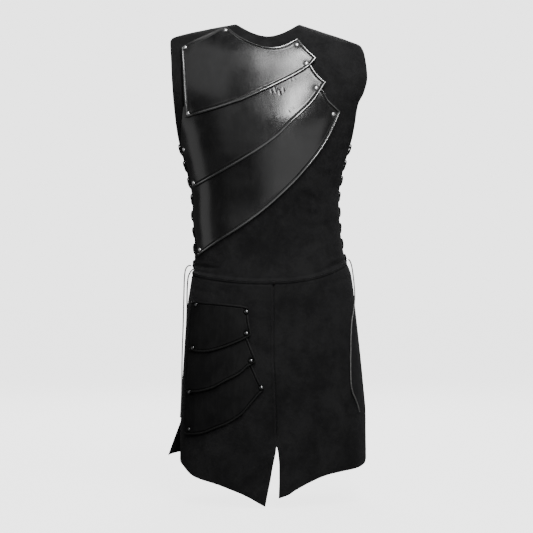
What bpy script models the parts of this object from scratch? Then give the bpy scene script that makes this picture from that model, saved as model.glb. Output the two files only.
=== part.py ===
"""A sleeveless laced jerkin in its worn, hollow form.

Metres, +Z up, -Y is the front. The origin lies midway between the two shoulders, at the height where
they carry the garment. Left and right are those of a viewer who looks at the front.

Every panel lies on one form: a stack of rounded ring sections. A place on it is an angle around the body,
0 at the centre front and positive to the viewer's right, a height, and a distance out from the form.
"""
import math

import bmesh
import bpy
from mathutils import Vector
from mathutils.bvhtree import BVHTree

# Walls and gaps
CLOTH = 0.002
PLATE = 0.0025
RIM_WIDTH = 0.0065
RIM_RISE = 0.0010
SEAM_GAP = 0.0006
SHOULDER_GAP = 0.0010
LAY_GAP = 0.0012
# Stiff leather stands off a little more where the panel turns over the shoulder
SHOULDER_EASE = 0.0008
SHOULDER_EASE_FOOT = -0.060
# A plate's lower part rides over the next plate by the first length, and is lifted from a little above it
OVERLAP = 0.020
LAP_MARGIN = 0.004
LAP_LIFT = PLATE + RIM_RISE + LAY_GAP

# Form: a ring's outward direction is taken over a small turn and rise
NORMAL_TURN = 1.5
NORMAL_RISE = 0.004
ROUNDNESS = 2.35
PIT_HEIGHT = -0.2305
NECK_HEIGHT = 0.0233
TIP_HEIGHT = {-1: -0.0100, 1: -0.0277}
ARMHOLE_REACH = 0.060
ARMHOLE_SKEW = 0.85
ARMHOLE_FULLNESS = 0.6
LACING_HALF_GAP = 0.013
FRONT_NECK_DROP = -0.0122
BACK_NECK_DROP = 0.0040
NECK_CURVE = 1.8

# Half widths and depths of the ring sections
OUTLINE = (
    # height, left, right
    (0.0233, 0.0731, 0.0709),
    (0.0111, 0.1400, 0.1086),
    (0.0000, 0.1930, 0.1412),
    (-0.0066, 0.2125, 0.1609),
    (-0.0133, 0.2160, 0.1788),
    (-0.0266, 0.2152, 0.2075),
    (-0.0532, 0.2127, 0.2134),
    (-0.0975, 0.2099, 0.2167),
    (-0.1307, 0.2076, 0.2094),
    (-0.1596, 0.2052, 0.1960),
    (-0.2305, 0.1977, 0.1850),
    (-0.2969, 0.1808, 0.1662),
    (-0.3634, 0.1672, 0.1562),
    (-0.4077, 0.1660, 0.1578),
    (-0.4521, 0.1622, 0.1620),
    (-0.4964, 0.1618, 0.1706),
    (-0.5296, 0.1666, 0.1828),
    (-0.6072, 0.1777, 0.1923),
    (-0.7623, 0.1881, 0.2088),
    (-0.8509, 0.1928, 0.2158),
    (-1.0500, 0.1965, 0.2170),
)
DEPTH = (
    # height, front, back
    (0.0233, 0.045, 0.045),
    (0.0000, 0.064, 0.059),
    (-0.0266, 0.081, 0.074),
    (-0.0532, 0.094, 0.087),
    (-0.0975, 0.109, 0.101),
    (-0.1596, 0.122, 0.111),
    (-0.1972, 0.125, 0.111),
    (-0.2637, 0.1215, 0.102),
    (-0.3302, 0.112, 0.091),
    (-0.4077, 0.105, 0.088),
    (-0.4521, 0.106, 0.096),
    (-0.5296, 0.114, 0.115),
    (-0.6072, 0.124, 0.130),
    (-0.7623, 0.140, 0.142),
    (-1.0500, 0.158, 0.156),
)
# Long soft folds: each grows from its top to its full depth at the foot, outwards where positive
FOLDS = (
    # degrees around, half width in degrees, top, foot, depth
    (30, 10, -0.66, -0.95, -0.0050),
    (58, 9, -0.56, -0.95, 0.0050),
    (8, 7, -0.78, -1.00, 0.0030),
    (-12, 8, -0.84, -1.00, -0.0040),
    (112, 9, -0.60, -0.93, -0.0040),
    (138, 12, -0.56, -0.93, 0.0070),
    (163, 11, -0.62, -0.93, -0.0060),
    (190, 12, -0.58, -0.93, 0.0060),
    (216, 12, -0.62, -0.93, -0.0060),
    (240, 10, -0.70, -0.93, 0.0050),
    (180, 16, -0.12, -0.36, -0.0040),
)

# Waist seam: lowest at the centre, it rises to each side
WAIST_CENTRE = -0.5472
WAIST_RISE = {-1: 0.0185, 1: 0.0420}
WAIST_CURVE = 2.3
SIDE_WAIST = -0.530

# Centre front of the skirt: a seam, and below it the two edges of the slit
CENTRE_SEAM = (
    # height, across
    (-0.548, 0.0106),
    (-0.667, 0.0084),
    (-0.751, 0.0105),
    (-0.8795, 0.0146),
)
FRONT_SLIT_TOP = -0.8795
FRONT_SLIT = (
    # height, left panel's edge, right panel's edge
    (FRONT_SLIT_TOP, 0.0146, 0.0146),
    (-0.9193, 0.0117, 0.0220),
    (-0.9527, 0.0057, 0.0233),
    (-1.0200, -0.0063, 0.0205),
)
HEM = (
    # degrees from the centre, left panel, right panel
    (0, -1.0210, -1.0090),
    (6, -1.0090, -1.0020),
    (10, -1.0020, -0.9920),
    (20, -0.9880, -0.9720),
    (35, -0.9730, -0.9530),
    (55, -0.9615, -0.9440),
    (73, -0.9430, -0.9400),
    (90, -0.9340, -0.9320),
)
BACK_HEM = -0.929
SIDE_SLIT_TOP = -0.852
SIDE_FLARE = 0.0235
SIDE_SWING_BACK = 0.004
SIDE_FLARE_DEGREES = 45

# Panel grids
SHOULDER_COLUMNS = 7
NECK_COLUMNS = 7
BODY_ROWS = 20
ROW_CROWDING = 0.25
BLEND_HEIGHT = -0.12
SKIRT_COLUMNS = 13
SKIRT_ROWS = 10
BACK_SKIRT_COLUMNS = 24

# Lacing
LACE = 0.0030
HOLE = 0.0060
HOLE_INSET = 0.008
HOLE_SIDES = 8
PUNCH_LENGTH = 0.012
LACE_ROWS = 8
LACE_TOP = -0.2430
LACE_FOOT = {-1: -0.4980, 1: -0.4850}
KNOT_DROP = 0.0110
KNOT_SIZE = (0.0052, 0.0060, 0.0046)
KNOT_OUT = 0.0010
KNOT_CLEARANCE = 0.0010
# One strand from its hole, across the gap, to the inside of the next hole in the other edge
STRAND = (
    # share of the way across, distance out from the form
    (0.00, -0.0010),
    (0.02, 0.0019),
    (0.24, 0.0024),
    (0.50, None),
    (0.78, -0.0048),
    (0.98, -0.0044),
)
OVER_STRAND = 0.0012
UNDER_STRAND = -0.0024
# The last stretch, out of the lowest hole and down to the knot
LAST_STRAND = (
    # share of the hole's distance from the side line, share of the drop to the knot, distance out
    (1.00, 0.0, -0.0010),
    (0.96, 0.0, 0.0022),
    (0.70, 0.4, 0.0027),
)
# The lace's middle lies inside, across the top of the lacing
BAR_OUT = -0.0040
BAR_DEPTHS = (-0.020, -0.009, 0.009, 0.020)

RIVET = 0.0090
RIVET_RISE = 0.0034
RIVET_SIDES = 10
RIVET_GAP = 0.0003
RIVET_REACH = 0.030

# Plates: corners are marked, and the curve between two corners is smooth
TOP_PLATE = {
    "upper": (
        # across, height, corner
        (-0.1899, -0.0297, True),
        (-0.1415, -0.0085, False),
        (-0.0922, 0.0160, True),
        (-0.0607, -0.0160, False),
        (-0.0216, -0.0370, False),
        (0.0085, -0.0430, False),
        (0.0366, -0.0375, False),
        (0.0662, -0.0197, True),
    ),
    "lower": (
        (-0.1795, -0.1854, True),
        (-0.1135, -0.1696, False),
        (-0.0599, -0.1534, True),
        (0.0042, -0.1242, False),
        (0.0685, -0.0906, False),
        (0.0880, -0.0769, False),
        (0.1033, -0.0611, True),
    ),
    "left": ((-0.1899, -0.0297, True), (-0.1837, -0.1060, False), (-0.1795, -0.1854, True)),
    "right": ((0.0662, -0.0197, True), (0.0831, -0.0400, False), (0.1033, -0.0611, True)),
}
MIDDLE_PLATE = {
    "upper": (
        (-0.1830, -0.1664, True),
        (-0.1135, -0.1496, False),
        (-0.0599, -0.1334, False),
        (0.0042, -0.1042, False),
        (0.0500, -0.0800, False),
        (0.0780, -0.0600, True),
    ),
    "lower": (
        (-0.1667, -0.3376, True),
        (-0.1548, -0.3343, False),
        (-0.1123, -0.3143, False),
        (-0.0621, -0.2824, False),
        (-0.0178, -0.2535, False),
        (0.0193, -0.2302, False),
        (0.0504, -0.2026, False),
        (0.0874, -0.1689, False),
        (0.1023, -0.1517, False),
        (0.1162, -0.1308, False),
        (0.1228, -0.1161, True),
    ),
    "left": (
        (-0.1830, -0.1664, True),
        (-0.1903, -0.2305, False),
        (-0.1875, -0.2558, False),
        (-0.1745, -0.3000, False),
        (-0.1667, -0.3376, True),
    ),
    "right": (
        (0.0780, -0.0600, True),
        (0.0897, -0.0800, False),
        (0.0988, -0.0953, False),
        (0.1108, -0.1083, False),
        (0.1228, -0.1161, True),
    ),
}
BOTTOM_PLATE = {
    "upper": (
        (-0.1680, -0.3190, True),
        (-0.1548, -0.3143, False),
        (-0.1123, -0.2943, False),
        (-0.0621, -0.2624, False),
        (-0.0178, -0.2335, False),
        (0.0193, -0.2102, False),
        (0.0504, -0.1826, False),
        (0.0820, -0.1500, False),
        (0.1020, -0.1150, True),
    ),
    "lower": (
        (-0.1542, -0.4841, True),
        (-0.1454, -0.4786, False),
        (-0.1033, -0.4530, False),
        (-0.0585, -0.4228, False),
        (-0.0048, -0.3814, False),
        (0.0506, -0.3316, False),
        (0.0763, -0.3039, False),
        (0.1024, -0.2724, False),
        (0.1247, -0.2368, False),
        (0.1452, -0.1937, False),
        (0.1527, -0.1762, True),
    ),
    "left": (
        (-0.1680, -0.3190, True),
        (-0.1630, -0.3634, False),
        (-0.1636, -0.4077, False),
        (-0.1572, -0.4521, False),
        (-0.1542, -0.4841, True),
    ),
    "right": (
        (0.1020, -0.1150, True),
        (0.1151, -0.1345, False),
        (0.1263, -0.1544, False),
        (0.1394, -0.1669, False),
        (0.1527, -0.1762, True),
    ),
}
HIP_TOP_PLATE = {
    "upper": (
        (-0.1690, -0.5913, True),
        (-0.1524, -0.5905, False),
        (-0.0620, -0.5976, False),
        (-0.0428, -0.6014, True),
    ),
    "lower": (
        (-0.1740, -0.6905, True),
        (-0.1516, -0.6921, False),
        (-0.1325, -0.6920, False),
        (-0.1097, -0.6877, False),
        (-0.0839, -0.6791, False),
        (-0.0580, -0.6678, False),
        (-0.0352, -0.6554, True),
    ),
    "left": ((-0.1690, -0.5913, True), (-0.1720, -0.6410, False), (-0.1740, -0.6905, True)),
    "right": ((-0.0428, -0.6014, True), (-0.0398, -0.6250, False), (-0.0352, -0.6554, True)),
}
HIP_MIDDLE_PLATE = {
    "upper": (
        (-0.1733, -0.6735, True),
        (-0.1516, -0.6751, False),
        (-0.1325, -0.6750, False),
        (-0.1097, -0.6707, False),
        (-0.0839, -0.6621, False),
        (-0.0510, -0.6455, True),
    ),
    "lower": (
        (-0.1778, -0.7810, True),
        (-0.1672, -0.7801, False),
        (-0.1447, -0.7751, False),
        (-0.1186, -0.7673, False),
        (-0.0931, -0.7540, False),
        (-0.0634, -0.7368, False),
        (-0.0445, -0.7218, False),
        (-0.0235, -0.7114, True),
    ),
    "left": ((-0.1733, -0.6735, True), (-0.1758, -0.7270, False), (-0.1778, -0.7810, True)),
    "right": (
        (-0.0510, -0.6455, True),
        (-0.0437, -0.6629, False),
        (-0.0310, -0.6940, False),
        (-0.0235, -0.7114, True),
    ),
}
HIP_BOTTOM_PLATE = {
    "upper": (
        (-0.1774, -0.7640, True),
        (-0.1672, -0.7631, False),
        (-0.1447, -0.7581, False),
        (-0.1186, -0.7503, False),
        (-0.0931, -0.7370, False),
        (-0.0634, -0.7198, False),
        (-0.0400, -0.7048, True),
    ),
    "lower": (
        (-0.1795, -0.8720, True),
        (-0.1690, -0.8714, False),
        (-0.1399, -0.8660, False),
        (-0.1142, -0.8549, False),
        (-0.0886, -0.8435, False),
        (-0.0592, -0.8220, False),
        (-0.0383, -0.8009, False),
        (-0.0141, -0.7758, False),
        (-0.0086, -0.7714, True),
    ),
    "left": ((-0.1774, -0.7640, True), (-0.1788, -0.8180, False), (-0.1795, -0.8720, True)),
    "right": (
        (-0.0400, -0.7048, True),
        (-0.0330, -0.7217, False),
        (-0.0173, -0.7571, False),
        (-0.0086, -0.7714, True),
    ),
}
SIDE_CROWDING = 1.35
CHEST_COLUMNS = 16
CHEST_ROWS = 6
HIP_COLUMNS = 9
HIP_ROWS = 4

CHEST_RIVETS = (
    # across, height
    (-0.1781, -0.0367),
    (-0.0920, 0.0005),
    (0.0619, -0.0350),
    (0.0814, -0.0780),
    (-0.1674, -0.1814),
    (-0.1783, -0.2555),
    (-0.1552, -0.3280),
    (0.1019, -0.1313),
    (0.1394, -0.1846),
    (-0.1466, -0.4744),
)
HIP_RIVETS = (
    # across, height
    (-0.1533, -0.5939),
    (-0.0455, -0.6077),
    (-0.0451, -0.6537),
    (-0.1568, -0.6873),
    (-0.0356, -0.7114),
    (-0.1636, -0.7818),
    (-0.0141, -0.7678),
    (-0.1680, -0.8615),
)

# Free lace ends: each leaves its knot outwards or downwards, then takes its route down
LACE_END_LEFT_FRONT = (
    # across, front to back, height
    (-0.1742, -0.0030, -0.5088),
    (-0.1792, -0.0050, -0.5128),
    (-0.1830, -0.0080, -0.5219),
    (-0.1846, -0.0110, -0.5384),
    (-0.1853, -0.0130, -0.5626),
    (-0.1860, -0.0145, -0.5956),
    (-0.1870, -0.0160, -0.6395),
    (-0.1884, -0.0190, -0.6841),
    (-0.1885, -0.0322, -0.7159),
    (-0.1884, -0.0444, -0.7588),
    (-0.1888, -0.0514, -0.7953),
    (-0.1900, -0.0514, -0.8237),
    (-0.1912, -0.0496, -0.8402),
)
LACE_END_LEFT_BACK = (
    (-0.1700, 0.0035, -0.5200),
    (-0.1738, 0.0065, -0.5260),
    (-0.1775, 0.0110, -0.5350),
    (-0.1795, 0.0150, -0.5550),
    (-0.1805, 0.0200, -0.5800),
    (-0.1810, 0.0260, -0.6100),
    (-0.1832, 0.0330, -0.6600),
    (-0.1855, 0.0370, -0.7100),
    (-0.1878, 0.0380, -0.7600),
    (-0.1898, 0.0370, -0.8100),
    (-0.1905, 0.0365, -0.8350),
)
LACE_END_RIGHT_FRONT = (
    (0.1807, -0.0030, -0.4975),
    (0.1839, -0.0050, -0.5050),
    (0.1862, -0.0090, -0.5170),
    (0.1884, -0.0190, -0.5380),
    (0.1900, -0.0300, -0.5623),
    (0.1898, -0.0395, -0.5798),
    (0.1872, -0.0520, -0.6022),
    (0.1820, -0.0680, -0.6302),
    (0.1795, -0.0790, -0.6633),
    (0.1780, -0.0900, -0.7138),
    (0.1780, -0.0950, -0.7443),
    (0.1787, -0.0970, -0.7635),
    (0.1821, -0.0962, -0.7807),
    (0.1905, -0.0905, -0.8010),
    (0.1980, -0.0840, -0.8243),
)
LACE_ENDS = (
    # name, side, outward and upward way it leaves the knot, route
    ("lace_end_left_front", -1, 1, 0, LACE_END_LEFT_FRONT),
    ("lace_end_left_back", -1, 0, -1, LACE_END_LEFT_BACK),
    ("lace_end_right_front", 1, 1, 0, LACE_END_RIGHT_FRONT),
)
LACE_END_POINTS = 34
LACE_END_GAP = 0.0003
LACE_END_STRAIGHT = 0.0020

COLOURS = {
    # name: colour, roughness, metallic
    "suede": ((0.016, 0.016, 0.017, 1.0), 0.92, 0.0),
    "leather": ((0.020, 0.020, 0.021, 1.0), 0.36, 0.0),
    "hip_leather": ((0.014, 0.014, 0.015, 1.0), 0.70, 0.0),
    "lace": ((0.030, 0.030, 0.031, 1.0), 0.60, 0.0),
    "rivet": ((0.55, 0.55, 0.56, 1.0), 0.28, 1.0),
}


def clear_scene():
    for thing in list(bpy.data.objects):
        bpy.data.objects.remove(thing, do_unlink=True)


def make_collections():
    jerkin = bpy.data.collections.new("laced_jerkin")
    cutters = bpy.data.collections.new("cutters")
    for collection in (jerkin, cutters):
        bpy.context.scene.collection.children.link(collection)
    return jerkin, cutters


def make_material(name, finish):
    colour, roughness, metallic = COLOURS[finish]
    material = bpy.data.materials.new(name)
    material.use_nodes = True
    shader = material.node_tree.nodes["Principled BSDF"]
    shader.inputs["Base Color"].default_value = colour
    shader.inputs["Roughness"].default_value = roughness
    shader.inputs["Metallic"].default_value = metallic
    return material


def add_object(collection, name, data, finish):
    thing = bpy.data.objects.new(name, data)
    data.materials.append(make_material(name, finish))
    collection.objects.link(thing)
    return thing


def smooth_step(value):
    value = min(max(value, 0.0), 1.0)
    return value * value * (3 - 2 * value)


def read_table(table, column, key):
    """A smooth value between the rows of a table that is sorted by its first column, either way."""
    rows = sorted(table)
    keys = [row[0] for row in rows]
    values = [row[column] for row in rows]
    key = min(max(key, keys[0]), keys[-1])
    last = len(rows) - 2
    index = 0
    while index < last and keys[index + 1] < key:
        index += 1
    chords = [(values[i + 1] - values[i]) / (keys[i + 1] - keys[i]) for i in range(last + 1)]

    def slope(i):
        if i == 0 or i == last + 1:
            return chords[min(i, last)]
        before, after = chords[i - 1], chords[i]
        if before * after <= 0:
            return 0.0
        return 2 * before * after / (before + after)

    step = keys[index + 1] - keys[index]
    t = (key - keys[index]) / step
    start = values[index] * (1 + 2 * t) * (1 - t) ** 2 + slope(index) * step * t * (1 - t) ** 2
    end = values[index + 1] * t * t * (3 - 2 * t) - slope(index + 1) * step * t * t * (1 - t)
    return start + end


# The form

def edge_depth(height, side):
    """How far the front and back panels' side edges stand off the side line."""
    if height <= PIT_HEIGHT:
        return LACING_HALF_GAP
    share = (height - PIT_HEIGHT) / (TIP_HEIGHT[side] - PIT_HEIGHT)
    if share >= 1:
        return 0.0
    reach = ARMHOLE_REACH * math.sin(math.pi * share ** ARMHOLE_SKEW) ** ARMHOLE_FULLNESS
    return math.hypot(LACING_HALF_GAP * (1 - share), reach)


def outline(height, side):
    return read_table(OUTLINE, 1 if side < 0 else 2, height)


def half_width(height, side):
    """The ring's own half width: at an armhole it reaches past the edge that makes the outline."""
    inset = edge_depth(height, side) / read_table(DEPTH, 1, height)
    return outline(height, side) / (1 - inset ** ROUNDNESS) ** (1 / ROUNDNESS)


def fold(around, height):
    total = 0.0
    for centre, width, top, foot, depth in FOLDS:
        turn = (around - centre + 180) % 360 - 180
        total += depth * math.exp(-(turn / width) ** 2) * smooth_step((top - height) / (top - foot))
    return total


def form(around, height):
    sine = math.sin(math.radians(around))
    cosine = math.cos(math.radians(around))
    side = -1 if sine < 0 else 1
    reach = max(0.0, 1 - abs(sine) ** ROUNDNESS) ** (1 / ROUNDNESS)
    depth = read_table(DEPTH, 1 if cosine >= 0 else 2, height) * reach
    across = half_width(height, side) * sine
    extra = fold(around, height)
    return Vector((across + extra * sine, (-depth if cosine >= 0 else depth) - extra * cosine, height))


def outward(around, height):
    along = form(around + NORMAL_TURN, height) - form(around - NORMAL_TURN, height)
    up = form(around, height + NORMAL_RISE) - form(around, height - NORMAL_RISE)
    return along.cross(up).normalized()


def on_form(around, height, out=0.0):
    return form(around, height) + outward(around, height) * out


def front_angle(across, height):
    side = -1 if across < 0 else 1
    share = min(1.0, abs(across) / half_width(height, side))
    return side * math.degrees(math.asin(share))


def on_front(across, height, out, face):
    """A point out from the form, under the place where a face is seen from the front."""
    away = outward(front_angle(across, height), height)
    across -= away.x * face
    height -= away.z * face
    return on_form(front_angle(across, height), height, out)


def on_side(side, depth, height, out=0.0):
    """A point near the side line, depth behind it."""
    column = 1 if depth < 0 else 2
    share = abs(depth) / read_table(DEPTH, column, height)
    sine = (1 - share ** ROUNDNESS) ** (1 / ROUNDNESS)
    around = math.degrees(math.asin(sine))
    if depth > 0:
        around = 180 - around
    return on_form(side * around, height, out)


def waist_height(around):
    sine = math.sin(math.radians(around))
    side = -1 if sine < 0 else 1
    return WAIST_CENTRE + WAIST_RISE[side] * abs(sine) ** WAIST_CURVE


# Panels

def grid_mesh(name, columns, rows, place):
    """An open sheet: place takes a share across, left to right, and a share down."""
    sheet = bmesh.new()
    bmesh.ops.create_grid(sheet, x_segments=columns, y_segments=rows, size=0.5)
    for vertex in sheet.verts:
        vertex.co = place(vertex.co.x + 0.5, 0.5 - vertex.co.y)
    mesh = bpy.data.meshes.new(name)
    sheet.to_mesh(mesh)
    sheet.free()
    mesh.shade_smooth()
    return mesh


def add_wall(thing, thickness, outwards=False):
    wall = thing.modifiers.new("wall", "SOLIDIFY")
    wall.thickness = thickness
    wall.offset = 1 if outwards else -1
    return wall


def shoulder_height(across, side):
    low, high = TIP_HEIGHT[side], NECK_HEIGHT
    for _ in range(40):
        middle = (low + high) / 2
        if outline(middle, side) > abs(across):
            low = middle
        else:
            high = middle
    return high


def top_edge_height(across, side, neck_drop):
    neck = outline(NECK_HEIGHT, side)
    if abs(across) >= neck:
        return shoulder_height(across, side)
    return neck_drop + (NECK_HEIGHT - neck_drop) * (abs(across) / neck) ** NECK_CURVE


def column_share(share):
    """Columns are set so that one meets each corner of the neck."""
    total = 2 * SHOULDER_COLUMNS + NECK_COLUMNS
    column = share * total
    side = -1 if share < 0.5 else 1
    corner = outline(NECK_HEIGHT, side) / outline(TIP_HEIGHT[side], side)
    from_end = min(column, total - column)
    if from_end <= SHOULDER_COLUMNS:
        return side * (1 - (1 - corner) * from_end / SHOULDER_COLUMNS)
    return side * corner * (total / 2 - from_end) / (NECK_COLUMNS / 2)


def body_place(back):
    """Front or back body panel, laid from its side edges, armholes, shoulders and neck to the waist."""
    neck_drop = BACK_NECK_DROP if back else FRONT_NECK_DROP

    def place(share, down):
        across = column_share(share)
        side = -1 if across < 0 else 1
        tip = TIP_HEIGHT[side]
        top_across = across * outline(tip, side)
        top = top_edge_height(top_across, side, neck_drop)
        foot = waist_height(across * side_angle(SIDE_WAIST, side))
        crowd = math.hypot(down, ROW_CROWDING) - ROW_CROWDING
        height = top - (top - foot) * crowd / (math.hypot(1, ROW_CROWDING) - ROW_CROWDING)
        level = min(height, tip)
        angle = math.radians(side_angle(level, side))
        ring_share = math.sin(abs(across) * angle) / math.sin(angle)
        mix = smooth_step((height - BLEND_HEIGHT) / (top - BLEND_HEIGHT))
        x = side * outline(level, side) * (ring_share + (abs(across) - ring_share) * mix)
        around = front_angle(x, height)
        if back:
            around = 180 - around
        point = form(around, height)
        point.y = max(point.y, SHOULDER_GAP / 2) if back else min(point.y, -SHOULDER_GAP / 2)
        return point

    return place


def side_angle(height, side):
    return math.degrees(math.asin(min(1.0, outline(height, side) / half_width(height, side))))


def add_body(collection, cutters, name, back):
    place = body_place(back)
    columns = 2 * SHOULDER_COLUMNS + NECK_COLUMNS
    if back:
        mesh = grid_mesh(name, columns, BODY_ROWS, lambda share, down: place(1 - share, down))
    else:
        mesh = grid_mesh(name, columns, BODY_ROWS, place)
    panel = add_object(collection, name, mesh, "suede")
    add_wall(panel, CLOTH)
    holes = add_hole_cutters(cutters, name + "_holes", 1 if back else -1)
    cut = panel.modifiers.new("lacing_holes", "BOOLEAN")
    cut.operation = "DIFFERENCE"
    cut.solver = "EXACT"
    cut.object = holes
    return panel


def skirt_front_place(side):
    column = 1 if side < 0 else 2

    def place(share, down):
        from_side = share if side < 0 else 1 - share
        waist_centre = front_angle(CENTRE_SEAM[0][1], WAIST_CENTRE)
        waist_angle = side * 90 + (waist_centre - side * 90) * from_side
        top = waist_height(waist_angle) - SEAM_GAP
        foot = read_table(HEM, column, 90 * (1 - from_side))
        height = top + (foot - top) * down
        if height > FRONT_SLIT_TOP:
            edge = read_table(CENTRE_SEAM, 1, height)
        else:
            edge = read_table(FRONT_SLIT, column, height)
        edge += side * SEAM_GAP / 2
        centre = front_angle(edge, height)
        point = form(side * 90 + (centre - side * 90) * from_side, height)
        point.y = min(point.y, -SEAM_GAP / 2)
        return point

    return place


def skirt_back_place(share, down):
    around = 90 + 180 * share
    top = waist_height(around) - SEAM_GAP
    height = top + (BACK_HEM - top) * down
    point = form(around, height)
    point.y = max(point.y, SEAM_GAP / 2)
    if height < SIDE_SLIT_TOP:
        swing = smooth_step((around - 270 + SIDE_FLARE_DEGREES) / SIDE_FLARE_DEGREES)
        drop = (SIDE_SLIT_TOP - height) / (SIDE_SLIT_TOP - BACK_HEM)
        other_swing = smooth_step((90 + SIDE_FLARE_DEGREES - around) / SIDE_FLARE_DEGREES)
        point.x -= SIDE_FLARE * drop * swing
        point.y += SIDE_SWING_BACK * drop * (swing + other_swing)
    return point


def add_skirts(collection):
    for name, side in (("skirt_front_left", -1), ("skirt_front_right", 1)):
        mesh = grid_mesh(name, SKIRT_COLUMNS, SKIRT_ROWS, skirt_front_place(side))
        add_wall(add_object(collection, name, mesh, "suede"), CLOTH)
    mesh = grid_mesh("skirt_back", BACK_SKIRT_COLUMNS, SKIRT_ROWS, skirt_back_place)
    add_wall(add_object(collection, "skirt_back", mesh, "suede"), CLOTH)


# Plates

def run_curve(points, share):
    """A smooth curve through a plate edge's points, by its share of the length; it turns at corners."""
    lengths = [0.0]
    for first, second in zip(points, points[1:]):
        lengths.append(lengths[-1] + math.dist(first[:2], second[:2]))
    target = share * lengths[-1]
    index = 0
    while index < len(points) - 2 and lengths[index + 1] < target:
        index += 1
    step = lengths[index + 1] - lengths[index]
    t = (target - lengths[index]) / step

    def tangent(i):
        if 0 < i < len(points) - 1 and not points[i][2]:
            span = lengths[i + 1] - lengths[i - 1]
            return [(points[i + 1][axis] - points[i - 1][axis]) / span for axis in (0, 1)]
        return [(points[index + 1][axis] - points[index][axis]) / step for axis in (0, 1)]

    before, after = tangent(index), tangent(index + 1)
    result = []
    for axis in (0, 1):
        start = points[index][axis] * (1 + 2 * t) * (1 - t) ** 2 + before[axis] * step * t * (1 - t) ** 2
        end = points[index + 1][axis] * t * t * (3 - 2 * t) - after[axis] * step * t * t * (1 - t)
        result.append(start + end)
    return result


def plate_patch(plate, across, down):
    """A plate's inside from its four edges (a Coons patch), as seen from the front."""
    upper, lower = run_curve(plate["upper"], across), run_curve(plate["lower"], across)
    left, right = run_curve(plate["left"], down), run_curve(plate["right"], down)
    corners = [plate[edge][end][:2] for edge in ("upper", "lower") for end in (0, -1)]
    weights = [(1 - across) * (1 - down), across * (1 - down), (1 - across) * down, across * down]
    point = []
    for axis in (0, 1):
        ruled = upper[axis] * (1 - down) + lower[axis] * down
        ruled += left[axis] * (1 - across) + right[axis] * across
        point.append(ruled - sum(weight * corner[axis] for weight, corner in zip(weights, corners)))
    return point


def stand_off(height):
    """A plate's inner face from the form."""
    return LAY_GAP + SHOULDER_EASE * smooth_step(1 - height / SHOULDER_EASE_FOOT)


def line_shares(length, count, rim_at_start, rim_at_end, lap=0.0, crowd=1.0):
    """Grid lines as shares of a length, with two more at an edge where a rim stands, its inner edge and
    its foot, and one at the inner end of a lap over the next plate."""
    start = [0.0, RIM_WIDTH, RIM_WIDTH + RIM_RISE] if rim_at_start else [0.0]
    end = [RIM_WIDTH + RIM_RISE, RIM_WIDTH, 0.0] if rim_at_end else [0.0]
    if lap:
        end.insert(0, lap)
    free = length - start[-1] - end[0]
    inner = [start[-1] + free * (i / count) ** crowd for i in range(1, count)]
    return [place / length for place in start + inner + [length - place for place in end]]


def add_plate(collection, name, plate, counts, rims, laps_next, finish):
    """rims names the edges that are turned; laps_next lifts the lower part over the next plate."""
    lap = OVERLAP + LAP_MARGIN if laps_next else 0.0
    columns = line_shares(1.0, counts[0], "left" in rims, "right" in rims)
    rows = line_shares(1.0, counts[1], "upper" in rims, "lower" in rims, lap)
    lap_row = len(rows) - 4

    def place(share, down):
        column = round(share * (len(columns) - 1))
        row = round(down * (len(rows) - 1))
        tall = math.dist(plate_patch(plate, share, 0), plate_patch(plate, share, 1))
        drop = line_shares(tall, counts[1], "upper" in rims, "lower" in rims, lap)[row]
        wide = math.dist(plate_patch(plate, 0, drop), plate_patch(plate, 1, drop))
        across = line_shares(wide, counts[0], "left" in rims, "right" in rims, crowd=SIDE_CROWDING)[column]
        x, height = plate_patch(plate, across, drop)
        lift = LAP_LIFT if laps_next and row >= lap_row else 0.0
        out = stand_off(height) + lift
        return on_front(x, height, out, out + PLATE)

    mesh = grid_mesh(name, len(columns) - 1, len(rows) - 1, place)
    thing = add_object(collection, name, mesh, finish)
    rim = thing.vertex_groups.new(name="rim")
    for row in range(len(rows)):
        for column in range(len(columns)):
            on_rim = (
                ("left" in rims and column <= 1)
                or ("right" in rims and column >= len(columns) - 2)
                or ("upper" in rims and row <= 1)
                or ("lower" in rims and row >= len(rows) - 2)
            )
            index = (len(rows) - 1 - row) * len(columns) + column
            rim.add([index], 1.0 if on_rim else 0.0, "REPLACE")
    wall = add_wall(thing, PLATE + RIM_RISE, outwards=True)
    wall.vertex_group = "rim"
    wall.thickness_vertex_group = PLATE / (PLATE + RIM_RISE)
    return thing


def add_plates(collection):
    plates = []
    chest = (
        ("chest_plate_top", TOP_PLATE, ("upper", "lower", "left", "right"), True),
        ("chest_plate_middle", MIDDLE_PLATE, ("lower", "right"), True),
        ("chest_plate_bottom", BOTTOM_PLATE, ("lower", "right"), False),
    )
    for name, plate, rims, laps in chest:
        thing = add_plate(collection, name, plate, (CHEST_COLUMNS, CHEST_ROWS), rims, laps, "leather")
        plates.append(thing)
    hips = (
        ("hip_plate_top", HIP_TOP_PLATE, ("upper", "lower", "right"), True),
        ("hip_plate_middle", HIP_MIDDLE_PLATE, ("lower", "right"), True),
        ("hip_plate_bottom", HIP_BOTTOM_PLATE, ("lower", "right"), False),
    )
    for name, plate, rims, laps in hips:
        thing = add_plate(collection, name, plate, (HIP_COLUMNS, HIP_ROWS), rims, laps, "hip_leather")
        plates.append(thing)
    return plates


# Rivets

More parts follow.
